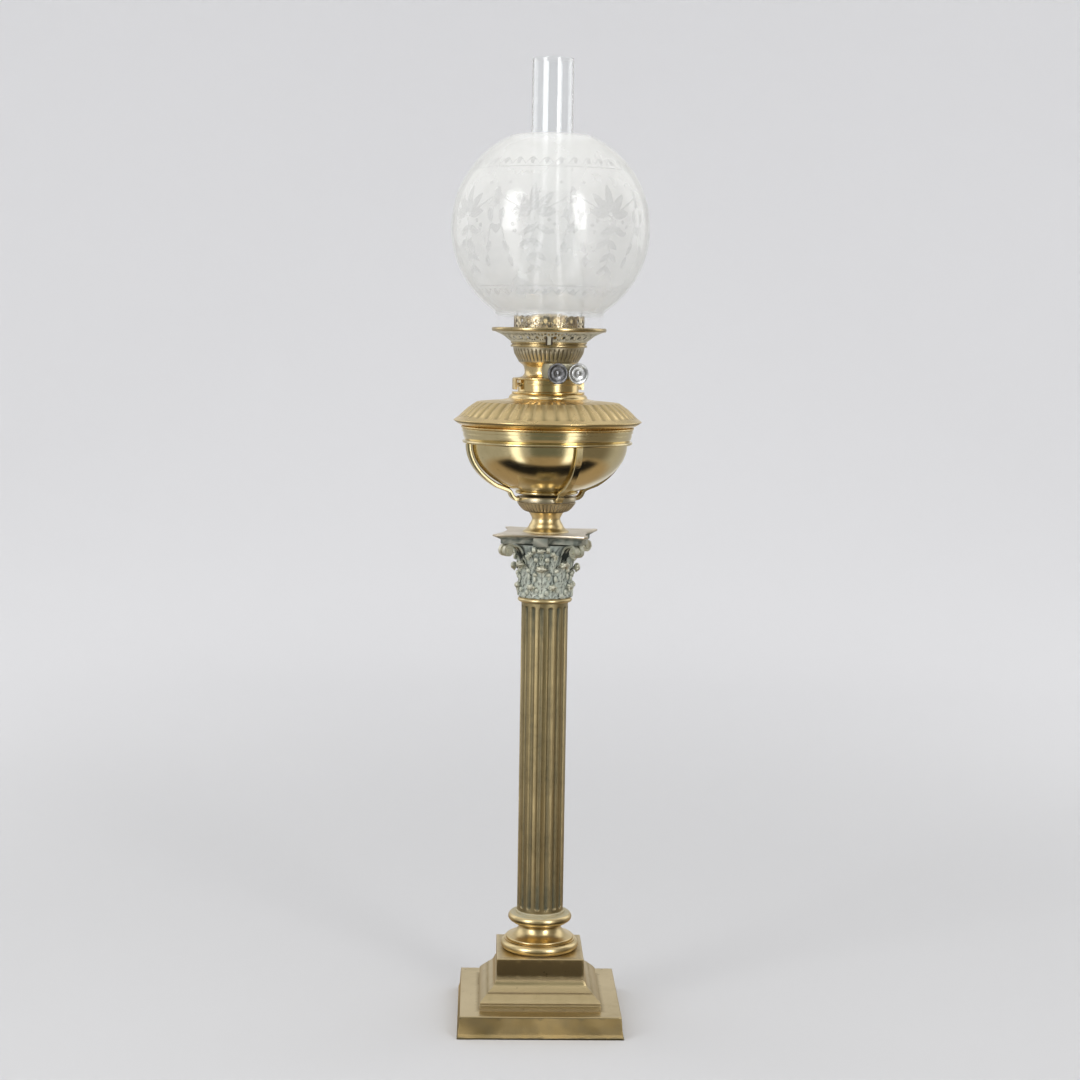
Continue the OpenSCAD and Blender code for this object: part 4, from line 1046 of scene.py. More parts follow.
    @staticmethod
    def plan(draw_in: float, bow: float = 6.5, reach: float = 63.6, cut: float = 5.0) -> list[Point]:
        """Outline of the abacus seen from above, drawn in by an amount."""
        out = []
        for k in range(4):
            a = math.pi / 2 * k + COLUMN_TURN
            corner = (reach - draw_in) / math.sqrt(2)
            half = corner - cut / math.sqrt(2)
            for i in range(25):
                t = i / 12 - 1
                x, y = corner - bow * (1 - t * t), t * half
                out.append((x * math.cos(a) - y * math.sin(a), x * math.sin(a) + y * math.cos(a)))
        return out

    def build_abacus(self) -> None:
        """Builds the abacus with its moulded edge, and its four flowers."""
        bm = bmesh.new()
        edge = [(10.0, 0.0), (9.5, 0.4)]
        edge += smooth([(9.4, 3.8), (7.6, 4.7), (5.0, 5.7), (2.4, 6.6), (0.2, 7.3)], 4)
        edge += [(0.0, 7.5), (0.0, 8.6), (0.4, 9.0)]
        loops = [[bm.verts.new((x, y, Z_ABACUS + h)) for x, y in self.plan(draw_in)] for draw_in, h in edge]
        lace(bm, loops, flip=True)
        for loop, hole_z in ((loops[0], 0.0), (loops[-1], 9.0)):
            bearings = [math.atan2(v.co.y, v.co.x) for v in loop]
            hole = [bm.verts.new((ROD_HOLE * math.cos(a), ROD_HOLE * math.sin(a), Z_ABACUS + hole_z))
                    for a in bearings]
            lace(bm, [loop, hole], flip=True)
        for i in range(4):
            turn = COLUMN_TURN + i * math.pi / 2
            out, side = outward(turn), sideways(turn)
            made = bmesh.ops.create_cube(bm, size=1.0)["verts"]
            for v in made:
                low = v.co.z < 0
                r = 39.4 if v.co.y < 0 and low else 40.0 if v.co.y < 0 else 34.5 if low else 28.0
                v.co = side * v.co.x * 13.6 + out * r + UP * (Z_ABACUS + (-2.4 if low else 6.2))
            edges = list({e for v in made for e in v.link_edges})
            bmesh.ops.bevel(bm, geom=edges, offset=0.9, segments=3, profile=0.6, affect="EDGES")
        obj = finish_mesh("abacus_plate", bm, 34.0)
        mark(obj, "hollow", self.sheltered)
        mark(obj, "crease", lambda p: min(0.9, max(0.0, 1.5 * noise.noise(p * 0.28) + 0.36))
             if p.z < Z_ABACUS + 6.9 else 0.0)
        dress(obj, self.palette.abacus, "stand", "abacus")

    @staticmethod
    def sheltered(p: Vector) -> float:
        """Deposit under the abacus's top edge, less of it on the flowers' undersides."""
        under = 0.75 if math.hypot(p.x, p.y) < 41 and p.z < Z_ABACUS - 0.1 else 1.0
        return clamp((Z_ABACUS + 7.4 - p.z) / 2) * (0.8 + 0.3 * noise.noise(p * 0.35)) * under


@dataclass
class Holder:
    """Turned stem, reeded cup, four straps and the ring that carries the font."""

    palette: Palette
    reeds: int = 44
    strap_width: float = 6.5
    strap_thick: float = 4.0
    gap: float = 1.2

    def build(self) -> None:
        """Builds and dresses every piece of the holder."""
        neck = (
            [(ROD_HOLE, Z_NECK), (22.8, Z_NECK), (23.6, Z_NECK + 0.3)]
            + arc(23.4, Z_NECK + 2.5, 2.5, 2.2, -78, 78, 14)
            + [(24.6, Z_BELL), (ROD_HOLE, Z_BELL)]
        )
        ring = revolve("neck_ring_turned", neck)
        dress(ring, self.palette.satin, "stand", "neck_ring")
        mark(ring, "hollow", lambda p: 0.5 if math.hypot(p.x, p.y) < 24.4 else 0.05)
        stem = [(ROD_HOLE, 0.0), (22.0, 0.0)] + smooth(
            [(21.5, 1.1), (17.6, 4.0), (15.7, 7.4), (14.2, 10.0), (13.5, 12.8), (15.4, 16.9), (16.8, 18.8)]
        ) + [(ROD_HOLE, 18.8)]
        obj = revolve("stem_turned", raised(stem, Z_STEM))
        mark(obj, "hollow", lambda p: 0.5 if p.z < Z_STEM + 0.8 else 0.0)
        dress(obj, self.palette.satin, "stand", "stem")
        self.build_cup()
        self.build_ring()
        self.build_straps()

    def build_cup(self) -> None:
        """Cup with rounded reeds under a plain rim."""
        body = smooth([(16.8, 0.0), (21.6, 1.65), (25.6, 5.55), (28.0, 9.4)], 8)
        outline = [(ROD_HOLE, 0.0)] + body
        outline += [(27.2, 10.2), (27.2, 11.0), (28.3, 11.4), (28.3, 14.5), (27.8, 15.0), (25.3, 15.0)]
        outline += [(23.7, 9.0), (18.7, 4.0), (ROD_HOLE, 4.0)]

        def shape(turn: float, r: float, p: Spot) -> tuple[float, float]:
            """Draws the reeds between the foot and the rim."""
            if not (1.2 < p.y < 9.2 and r > 20):
                return r, p.y
            fade = min(1.0, (p.y - 1.2) / 1.4, (9.2 - p.y) / 1.2)
            dip = 1 - abs(math.sin(turn * self.reeds / 2))
            return r - 0.95 * dip**1.6 * fade, p.y + 0.5 * dip * fade

        obj = revolve("cup_reeded", outline, self.reeds * 10, shape, 45.0)
        obj.data.transform(Matrix.Translation((0, 0, Z_CUP * MM)))
        mark(obj, "hollow", self.cup_shade)
        dress(obj, self.palette.reeded, "stand", "holder_cup")

    @staticmethod
    def cup_shade(p: Vector) -> float:
        """Painted shade between the cup's reeds and on its floor."""
        r = math.hypot(p.x, p.y)
        if p.z < Z_CUP + 10.9:
            return clamp((27.9 - (p.z - Z_CUP - 9.4) * -0.72 - r) / 1.2) * 0.8
        return 0.9 if r < 24 else 0.0

    def build_ring(self) -> None:
        """Moulded ring round the bowl."""
        outline = [(76.3, 0.0), (79.9, 0.0)] + arc(79.3, 1.4, 1.4, 1.4, -60, 90, 8)
        outline += [(78.3, 3.0), (78.9, 4.6)]
        outline += smooth([(79.2, 5.0), (80.0, 7.6), (80.1, 9.6), (80.2, 10.6)], 4)
        outline += [(81.0, 10.9), (81.1, 11.4), (81.1, 13.5), (80.6, 14.0), (78.7, 14.0)]
        obj = revolve("ring_moulded", raised(outline, Z_RING), 240)
        dress(obj, self.palette.font, "stand", "holder_ring")

    def build_straps(self) -> None:
        """Four moulded straps that follow the bowl down to the cup."""
        off = self.gap + self.strap_thick / 2
        mid = Z_CUP + 13.0
        reach, drop = BOWL_RADIUS + off, BOWL_DEPTH + off
        line = [(reach, Z_RING)] + arc(0, Z_RING, reach, drop, -2, -50, 12)
        line += smooth([(40.4, Z_BOWL + 0.6), (37.3, Z_BOWL - 1.6), (35.2, Z_FOOT - 1.4), (32.9, mid + 0.8),
                        (30.7, mid), (27.6, mid)], 5)
        half, thick = self.strap_width / 2, self.strap_thick / 2
        section = [(-half, -thick * 0.5), (-half * 0.86, -thick), (half * 0.86, -thick), (half, -thick * 0.5),
                   (half, thick * 0.5), (half * 0.8, thick * 0.82), (half * 0.52, thick * 0.6)]
        section += [(half * 0.42 * math.cos(a), thick * 0.6 + 1.15 * math.sin(a))
                    for a in (math.pi * k / 8 for k in range(1, 8))]
        section += [(-half * 0.52, thick * 0.6), (-half * 0.8, thick * 0.82), (-half, thick * 0.5)]
        for i, name in enumerate(("front", "right", "back", "left")):
            turn = STRAP_TURN + i * math.pi / 2
            bm = bmesh.new()
            sweep(bm, [outward(turn) * r + UP * z for r, z in line], section, sideways(turn))
            obj = finish_mesh(f"{name}_strap_moulded", bm)
            dress(obj, self.palette.font, "stand", f"{name}_strap")


# ---------------------------------------------------------------- font


@dataclass
class Font:
    """Lift-out oil font: foot, bowl, lobed shoulder and collar."""

    palette: Palette
    lobes: int = 45
    lip: float = 89.1
    edge: float = 67.3

    def build(self) -> None:
        """Builds and dresses the font."""
        foot = [(0.0, 0.6), (25.0, 0.6), (25.8, 0.0)] + arc(28.3, 1.6, 1.6, 1.5, -80, 60, 8)
        foot += [(28.2, 3.2), (28.6, 3.5), (28.6, 4.0), (0.0, 4.0)]
        obj = revolve("font_foot_turned", raised(foot, Z_FOOT))
        dress(obj, self.palette.font, "font", "font_foot")
        wall = 1.8
        low = -math.degrees(math.asin((Z_RING - Z_BOWL) / BOWL_DEPTH))
        curve = [(28.4, Z_BOWL)] + arc(0, Z_RING, BOWL_RADIUS, BOWL_DEPTH, low, 0, 40) + [(78.4, Z_SKIRT)]
        inner = shifted(curve, -wall)
        outline = [(0.0, Z_BOWL)] + curve + inner[::-1][:-2] + [(0.0, Z_BOWL + wall)]
        outline[len(curve) + 1] = (inner[-1][0], Z_SKIRT)
        obj = revolve("font_bowl_spun", outline, 240)
        dress(obj, self.palette.font, "font", "font_bowl")
        self.build_shoulder()
        self.build_collar()

    def lobed(self, turn: float, r: float, p: Spot) -> tuple[float, float]:
        """Raises the lobes on the slope and on the flat ring above it."""
        z = p.y
        if r < 46.5 or z < Z_LIP + 3.2 or z > Z_SHOULDER + 2.4 or p.x < 0:
            return r, z
        wave = abs(math.cos(turn * self.lobes / 2))
        crest = 1 - (1 - wave) ** 1.6
        if r < self.edge:
            fade = clamp((r - 47.5) / 6)
            return r, z + (0.8 * crest - 0.65) * fade
        fade = clamp((85.0 - r) / 3.4)
        lift = (1.25 * crest - 1.0) * fade
        return r + lift * 0.62, z + lift * 0.78

    def build_shoulder(self) -> None:
        """Shoulder from its skirt up to the collar's flange."""
        outline = [(76.6, Z_SKIRT)] + arc(81.0, Z_SKIRT + 1.0, 1.0, 1.0, -88, 88, 8)
        outline += [(80.2, Z_SKIRT + 2.2), (82.0, Z_SKIRT + 2.8), (83.6, Z_SKIRT + 3.5)]
        outline += smooth([(85.3, Z_SKIRT + 4.5), (87.3, Z_LIP - 1.4), (88.6, Z_LIP - 0.55)], 4)
        outline += arc(self.lip - 0.6, Z_LIP, 0.6, 0.6, -50, 70, 6)
        outline += spaced([(88.0, Z_LIP + 1.1), (84.2, Z_LIP + 3.9)], 0.8)
        slope = [(83.5, Z_LIP + 4.4), (75.9, Z_LIP + 11.45), (self.edge + 0.4, Z_LIP + 17.05)]
        outline += spaced(smooth(slope, 8), 1.4)
        outline += [(self.edge, Z_LIP + 17.3), (self.edge - 0.5, Z_LIP + 17.4)]
        outline += spaced([(self.edge - 2.0, Z_SHOULDER + 0.1), (46.0, Z_SHOULDER + 1.8)], 1.6)
        outline += smooth([(44.0, Z_SHOULDER + 2.1), (38.6, Z_SHOULDER + 3.2), (37.4, Z_SHOULDER + 3.8),
                           (36.4, Z_SHOULDER + 6.0), (33.9, Z_COLLAR)], 5)
        outline += [(27.3, Z_COLLAR), (27.3, Z_COLLAR - 1.8), (34.4, Z_SHOULDER + 1.5), (46.0, Z_SHOULDER - 0.8),
                    (64.5, Z_SHOULDER - 2.8), (80.1, Z_LIP + 2.0), (76.6, Z_SKIRT + 3.6)]
        top = max(range(len(outline)), key=lambda i: outline[i][1])

        def shape(turn: float, r: float, p: Spot) -> tuple[float, float]:
            """Lobes the outer face only."""
            return self.lobed(turn, r, p) if p.index <= top else (r, p.y)

        obj = revolve("font_shoulder_lobed", outline, self.lobes * 12, shape, 42.0)
        mark(obj, "hollow", self.hollow)
        dress(obj, self.palette.shoulder, "font", "font_shoulder")

    def hollow(self, p: Vector) -> float:
        """Painted shade under the lip, and darker grooves between the lobes."""
        r = math.hypot(p.x, p.y)
        if r > 85.0 and Z_LIP - 2.2 < p.z < Z_LIP - 0.4:
            return 0.9
        if r < 47 or r > 85.5 or p.z < Z_LIP + 3:
            return 0.0
        wave = abs(math.cos(math.atan2(p.x, -p.y) * self.lobes / 2))
        return 0.62 * max(0.0, 1.0 - 1.25 * wave) ** 0.8

    def build_collar(self) -> None:
        """Screwed collar with its flange and bayonet lip."""
        lip_z = Z_FLANGE - 4.6 - Z_COLLAR
        outline = [(27.3, 0.0), (34.1, 0.0), (34.5, 0.4), (34.5, 1.2), (34.1, 1.6), (29.3, 1.6), (28.9, 2.0)]
        outline += [(28.9, lip_z), (31.0, lip_z), (31.2, lip_z + 0.2), (31.2, lip_z + 1.4), (31.0, lip_z + 1.6)]
        outline += [(28.9, lip_z + 1.6), (28.9, 12.68), (28.7, 12.88), (27.3, 12.88)]

        def shape(turn: float, r: float, p: Spot) -> tuple[float, float]:
            """Cuts two notches in the lip."""
            off = (turn - BURNER_TURN - math.radians(110) + math.pi / 2) % math.pi - math.pi / 2
            notched = abs(off) < math.radians(9.5) and r > 28.9 and p.y > Z_COLLAR + 3
            return (28.9, p.y) if notched else (r, p.y)

        obj = revolve("font_collar_turned", raised(outline, Z_COLLAR), 160, shape)
        dress(obj, self.palette.turned, "font", "font_collar")


# ---------------------------------------------------------------- burner


@dataclass
class Burner:
    """Twin flat wick burner: base, casing, air bowl, gallery, coronet and flame cone."""

    palette: Palette
    ribs: int = 48
    wick_x: float = 5.7

    def build(self) -> None:
        """Builds and dresses the burner's pieces."""
        self.build_base()
        self.build_bowl()
        self.build_gallery()
        self.build_coronet()
        casing = bevelled("spindle_casing", "spindle_casing_cast", 0.5, 3)
        mark(casing, "hollow", lambda p: clamp((Z_NECK_FOOT + 3 - p.z) / 3) * 0.7 + 0.15)
        dress(casing, self.palette.cast, "burner", "spindle_casing")
        for node in ("flame_cone", "left_wick_tube", "right_wick_tube"):
            coat(node, self.palette.turned)

    def build_base(self) -> None:
        """Flange, waisted neck and the two down-turned lugs."""
        neck = smooth([(32.2, Z_NECK_FOOT), (26.1, Z_NECK_FOOT + 0.6), (23.1, Z_NECK_FOOT + 3.2),
                       (22.7, Z_NECK_FOOT + 7.0), (23.9, Z_NECK_FOOT + 11.1), (28.0, Z_AIR)], 8)
        inner = [(r, min(max(z, Z_NECK_FOOT), Z_AIR)) for r, z in shifted(neck, -BURNER_WALL)[::-1]]
        outline = [(17.2, Z_FLANGE), (33.3, Z_FLANGE)] + arc(33.0, Z_FLANGE + 1, 0.6, 0.9, -80, 80, 6)
        outline += neck + inner + [(17.2, Z_NECK_FOOT)]
        obj = revolve("burner_base_turned", outline, 200)
        bm = bmesh.new()
        bm.from_mesh(obj.data)
        bm.transform(Matrix.Scale(1 / MM, 4))
        for side in (0, math.pi):
            self.lug(bm, side)
        self.floor(bm)
        mesh = finish_mesh("burner_base_whole", bm)
        bpy.data.objects.remove(obj)
        mesh.data.transform(Matrix.Rotation(BURNER_TURN, 4, "Z"))
        mark(mesh, "hollow", lambda p: 0.55 if p.z < Z_NECK_FOOT + 0.9 and math.hypot(p.x, p.y) < 30 else 0.0)
        dress(mesh, self.palette.burner, "burner", "burner_base")

    def floor(self, bm: BMesh) -> None:
        """Adds the floor plate round both wick tubes, as three bars and two end pieces."""
        tube, half = 2.3, 14.7
        blocks = [
            (-(self.wick_x - tube), -half, self.wick_x - tube, half),
            (-17.6, -half, -(self.wick_x + tube), half),
            (self.wick_x + tube, -half, 17.6, half),
            (-10.5, -17.6, 10.5, -half),
            (-10.5, half, 10.5, 17.6),
        ]
        for x0, y0, x1, y1 in blocks:
            made = bmesh.ops.create_cube(bm, size=1.0)["verts"]
            for v in made:
                v.co = Vector((x0 if v.co.x < 0 else x1, y0 if v.co.y < 0 else y1,
                               Z_FLANGE + 0.1 if v.co.z < 0 else Z_NECK_FOOT - 0.1))

    def lug(self, bm: BMesh, side: float) -> None:
        """Adds one curved lug with its inward toe."""
        low, tail = Z_FLANGE - 6.6, Z_FLANGE - 9.2
        section = [(32.8, Z_NECK_FOOT - 0.4), (35.0, Z_NECK_FOOT - 0.8), (35.0, tail + 0.4), (34.6, tail),
                   (32.8, tail), (32.8, low), (29.3, low), (29.3, low + 1.6), (32.8, low + 1.6)]
        turns = [side + math.pi / 2 + math.radians(-7 + 14 * i / 8) for i in range(9)]
        rings = [[bm.verts.new(polar(a, r, z)) for r, z in section] for a in turns]
        lace(bm, rings)
        cap(bm, rings)

    def build_bowl(self) -> None:
        """Reeded air bowl."""
        tall = Z_BAND - Z_AIR
        side = smooth([(28.0, Z_AIR), (29.0, Z_AIR + 0.13 * tall), (31.1, Z_AIR + 0.38 * tall),
                       (32.7, Z_AIR + 0.6 * tall), (33.4, Z_AIR + 0.82 * tall), (33.8, Z_BAND - 0.2)])
        side.append((34.0, Z_BAND))
        inner = shifted(side, -BURNER_WALL)[::-1]
        outline = [(17.4, Z_AIR)] + side + inner + [(27.0, Z_AIR + 1.0), (17.4, Z_AIR + 1.0)]

        def shape(turn: float, r: float, p: Spot) -> tuple[float, float]:
            """Draws the reeds of the outer face."""
            if not 1 <= p.index <= len(side):
                return r, p.y
            fade = clamp(min((p.y - Z_AIR - 1.2) / 1.8, (Z_BAND - 2.4 - p.y) / 1.6))
            dip = 1 - abs(math.sin(turn * self.ribs / 2))
            return r - 1.0 * dip**1.1 * fade, p.y

        obj = revolve("air_bowl_reeded", outline, self.ribs * 10, shape, 45.0)
        mark(obj, "hollow", self.groove)
        dress(obj, self.palette.reeded, "burner", "air_bowl")

    def groove(self, p: Vector) -> float:
        """Painted shade between the air bowl's reeds."""
        if not Z_AIR + 1 < p.z < Z_BAND - 1.4:
            return 0.15
        return max(0.0, 1 - abs(math.sin(math.atan2(p.x, -p.y) * self.ribs / 2)) * 1.5)

    def build_gallery(self) -> None:
        """Seating band, pierced cone and the plate with its rolled rim."""
        band = [(32.8, Z_BAND), (35.2, Z_BAND)] + arc(35.4, Z_BAND + 1.1, 0.8, 1.1, -80, 80, 8)
        band += [(34.8, Z_BAND + 2.4), (34.8, Z_BAND + 2.9)] + arc(35.3, Z_CONE - 0.9, 0.8, 0.9, -80, 85, 8)
        band += [(34.6, Z_CONE), (32.8, Z_CONE - 0.8)]

        def seam(turn: float, r: float, p: Spot) -> tuple[float, float]:
            """Leaves a narrow open seam in the band, right of the front."""
            off = (turn - math.radians(8.5) + math.pi) % (2 * math.pi) - math.pi
            return (r - 0.9 if r > 33.5 and abs(off) < math.radians(1.6) else r), p.y

        obj = revolve("gallery_band", band, 240, seam)
        mark(obj, "hollow", lambda p: 0.5 if math.hypot(p.x, p.y) < 34.95 and p.z > Z_BAND + 1 else 0.0)
        dress(obj, self.palette.rim, "burner", "gallery_cone")
        side = smooth([(35.6, Z_CONE - 0.1), (41.0, Z_CONE + 4.2), (45.2, Z_CONE + 6.9), (51.0, Z_PLATE)], 8)
        spans = [0.0]
        for a, b in zip(side, side[1:]):
            spans.append(spans[-1] + math.dist(a, b))

        def place(turn: float, t: float) -> Vector:
            """From a turn and a share of the slope to a place on the cone."""
            along = t * spans[-1]
            k = max(i for i, s in enumerate(spans[:-1]) if s <= along + 1e-9)
            f = (along - spans[k]) / (spans[k + 1] - spans[k])
            r = side[k][0] + (side[k + 1][0] - side[k][0]) * f
            z = side[k][1] + (side[k + 1][1] - side[k][1]) * f
            return polar(turn * 2 * math.pi, r, z)

        grid = [i / 6 for i in range(7)]
        rows = [[(x, 0.0) for x in grid], [(1.0, y) for y in grid], [(x, 1.0) for x in grid[::-1]],
                [(0.0, y) for y in grid[::-1]]]
        holes = [self.drop(*hole) for hole in (
            (0.5, 0.33, 0.22, 0.15), (0.5, 0.70, 0.15, 0.12), (0.16, 0.62, 0.10, 0.15),
            (0.84, 0.62, 0.10, 0.15), (0.14, 0.18, 0.09, 0.07), (0.86, 0.18, 0.09, 0.07),
        )]
        cone = pierced("gallery_cone_pierced", 30, rows, holes, place, 0.9)
        mark(cone, "hollow", lambda p: 0.6)
        dress(cone, self.palette.gallery, "burner", "gallery_cone")
        bm = bmesh.new()
        # The middle box is the tab; the two thin boxes beside it carry its painted shade.
        for at, wide, out in ((-1.0, 3.2, 1.5), (-3.5, 1.5, 0.5), (1.5, 1.5, 0.5)):
            for v in bmesh.ops.create_cube(bm, size=1.0)["verts"]:
                high = v.co.z > 0
                r = (41.6 if high else 35.0) + (out if v.co.y < 0 else -1.0)
                v.co = Vector((at + v.co.x * wide, -r, Z_CONE + (5.2 if high else -2.6)))
        tab = finish_mesh("gallery_tab", bm)
        mark(tab, "hollow", lambda p: 0.8)
        # Painted shade: the two narrow strips beside the tab are coloured near black to stand for the shadowed
        # grooves at its sides.
        mark(tab, "crease", lambda p: 0.0 if -2.65 < p.x < 0.65 else 1.0)
        dress(tab, self.palette.gallery, "burner", "gallery_cone")
        plate = [(24.0, Z_PLATE), (50.6, Z_PLATE), (52.6, Z_PLATE + 0.1)]
        plate += arc(52.9, Z_PLATE + 2.0, 1.3, 1.9, -80, 170, 16)
        plate += [(51.6, Z_SEAT + 0.2), (50.8, Z_SEAT), (24.0, Z_SEAT)]
        obj = revolve("gallery_plate_spun", plate, 200)
        dress(obj, self.palette.rim, "burner", "gallery_plate")

    @staticmethod
    def drop(x: float, y: float, rx: float, ry: float) -> list[Point]:
        """A small oval hole in a pierced sheet's cell."""
        turns = (2 * math.pi * i / 14 for i in range(14))
        return [(x + rx * math.cos(a), y + ry * math.sin(a)) for a in turns]

    def build_coronet(self) -> None:
        """Pierced ring with a scalloped top that holds the chimney."""
        height, radius = 13.9, 33.3

        def place(turn: float, t: float) -> Vector:
            """From a turn and a height share to a place on the ring."""
            return polar(turn * 2 * math.pi, radius, Z_SEAT + t * height)

        grid = [i / 8 for i in range(9)]
        crest = [(x, 0.86 + 0.14 * math.sin(math.pi * x)) for x in grid]
        steps = (0.0, 0.3, 0.6, 0.86)
        rows = [[(x, 0.0) for x in grid], [(1.0, y) for y in steps], crest[::-1], [(0.0, y) for y in steps[::-1]]]
        holes = [self.drop(*hole) for hole in (
            (0.5, 0.62, 0.2, 0.17), (0.5, 0.28, 0.26, 0.10), (0.12, 0.45, 0.07, 0.13), (0.88, 0.45, 0.07, 0.13),
        )]
        obj = pierced("coronet_pierced", 24, rows, holes, place, 1.0)
        mark(obj, "hollow", lambda p: 0.1)
        mark(obj, "crease", lambda p: clamp(1.9 * noise.noise(p * 0.55) - 0.1))
        dress(obj, self.palette.coronet, "burner", "coronet")


@dataclass
class Winder:
    """Spindle, wheels and knob of one wick."""

    palette: Palette
    side: int
    radius: float = 9.95
    reach: float = 51.0
    thick: float = 2.6
    hub: float = 4.5
    offset: float = 10.2

    def build(self) -> None:
        """Builds and dresses one winder."""
        name = "left" if self.side < 0 else "right"
        body = f"{name}_winder"
        for part in ("spindle", "wheels"):
            coat(f"{name}_{part}", self.palette.steel)
        rim = self.radius
        front = [(0.0, 2.5), (2.0, 2.45), (2.3, 2.2), (2.7, 2.2), (3.0, 2.4),
                 (5.8, 2.3), (6.1, 1.95), (6.5, 1.95), (6.8, 2.25), (8.6, 2.5)]
        outline = [(0.0, 0.0), (rim - 0.7, 0.0)] + arc(rim - 0.7, 0.7, 0.7, 0.7, -80, 0, 4)
        outline += arc(rim - 0.7, 1.9, 0.7, 0.7, 0, 85, 4) + front[::-1]
        teeth = 36

        def shape(turn: float, r: float, p: Spot) -> tuple[float, float]:
            """Knurls the rim and presses faint petals into the face."""
            if r > rim - 0.75:
                r -= 0.3 * (0.5 - 0.5 * math.cos(turn * teeth))
            if 3.0 < r < 5.8 and p.y > 1:
                return r, p.y - 0.22 * max(0.0, math.cos(turn * 9)) * math.sin((r - 3.0) / 2.8 * math.pi)
            return r, p.y

        knob = revolve(f"{name}_knob_disc", outline, teeth * 8, shape, 40.0)
        hub = [(1.6, 0.0), (2.7, 0.0), (3.4, 0.5), (3.4, 1.2), (2.6, 1.8), (2.6, 3.4), (3.2, self.hub),
               (1.6, self.hub)]
        sleeve = revolve(f"{name}_knob_hub", hub, 48)
        # The left knob gets the shaded copy and the right one the lit copy of the same nickel: painted shade and
        # painted light.
        finish = self.palette.shaded_knob if self.side < 0 else self.palette.lit_knob
        face = self.thick - self.reach
        for obj, back in ((knob, face), (sleeve, face + self.hub)):
            move = Matrix.Translation((self.side * self.offset * MM, back * MM, Z_SPINDLE * MM))
            obj.data.transform(Matrix.Rotation(BURNER_TURN, 4, "Z") @ move @ Matrix.Rotation(math.pi / 2, 4, "X"))
            dress(obj, finish, body, f"{name}_knob")


# ---------------------------------------------------------------- glass


@dataclass
class Chimney:
    """Blown glass chimney."""

    palette: Palette
    height: float = 252.0
    wall: float = 1.8
    top_radius: float = 19.6

    def build(self) -> None:
        """Builds and dresses the chimney."""
        rim, half = self.height - 0.9, self.wall / 2
        curve = [(31.6, 0.0), (31.6, 16.0)] + smooth(
            [(31.6, 22.0), (33.4, 38.0), (31.8, 56.0), (25.6, 86.0), (20.6, 112.0), (self.top_radius, 142.0)], 9
        )
        curve = spaced(curve + [(self.top_radius, rim)], 14)
        inner = shifted(curve, -self.wall)[::-1]
        lip = arc(self.top_radius - half, rim, half, 0.9, 0, 180, 8)[1:-1]
        obj = revolve("chimney_blown", raised(curve + lip + inner, Z_SEAT), 120, None, 60.0)
        dress(obj, self.palette.clear, "chimney", "chimney")


@dataclass
class Globe:
    """Etched globe with a clear fitter."""

    palette: Palette
    radius: float = 93.5
    centre: float = 757.0
    neck_top: float = 678.6
    fitter: float = 51.0
    opening: float = 37.4
    wall: float = 1.9
    count: int = 400

    def build(self) -> None:
        """Builds the shell, its etched pattern, and dresses it."""
        low = math.degrees(math.acos((self.centre - self.neck_top) / self.radius))
        high = math.degrees(math.asin(self.opening / self.radius))
        neck = [(self.fitter, Z_SEAT), (self.fitter, self.neck_top - 2.0), (51.7, self.neck_top - 0.2)]
        curve = spaced(neck, 3.0)
        ball = arc(0, self.centre, self.radius, self.radius, low - 90 + 2, 90 - high, 172)
        inner = shifted(curve + ball[:-1:6] + ball[-1:], -self.wall)[::-1]
        outline = curve + ball + inner
        obj = revolve("globe_etched", outline, self.count, None, 60.0)
        pattern = EtchedPattern(self.radius, self.centre)
        marks = [pattern.at(v.co / MM) for v in obj.data.vertices]
        for index, name in enumerate(("etch", "rib", "clear", "outer")):
            store(obj, name, [m[index] for m in marks])
        dress(obj, self.palette.frosted, "globe", "globe")


class Leaf(NamedTuple):
    """A leaf of the pattern: its foot, its direction, its length and half its width in mm."""

    x: float
    y: float
    turn: float
    length: float
    half: float


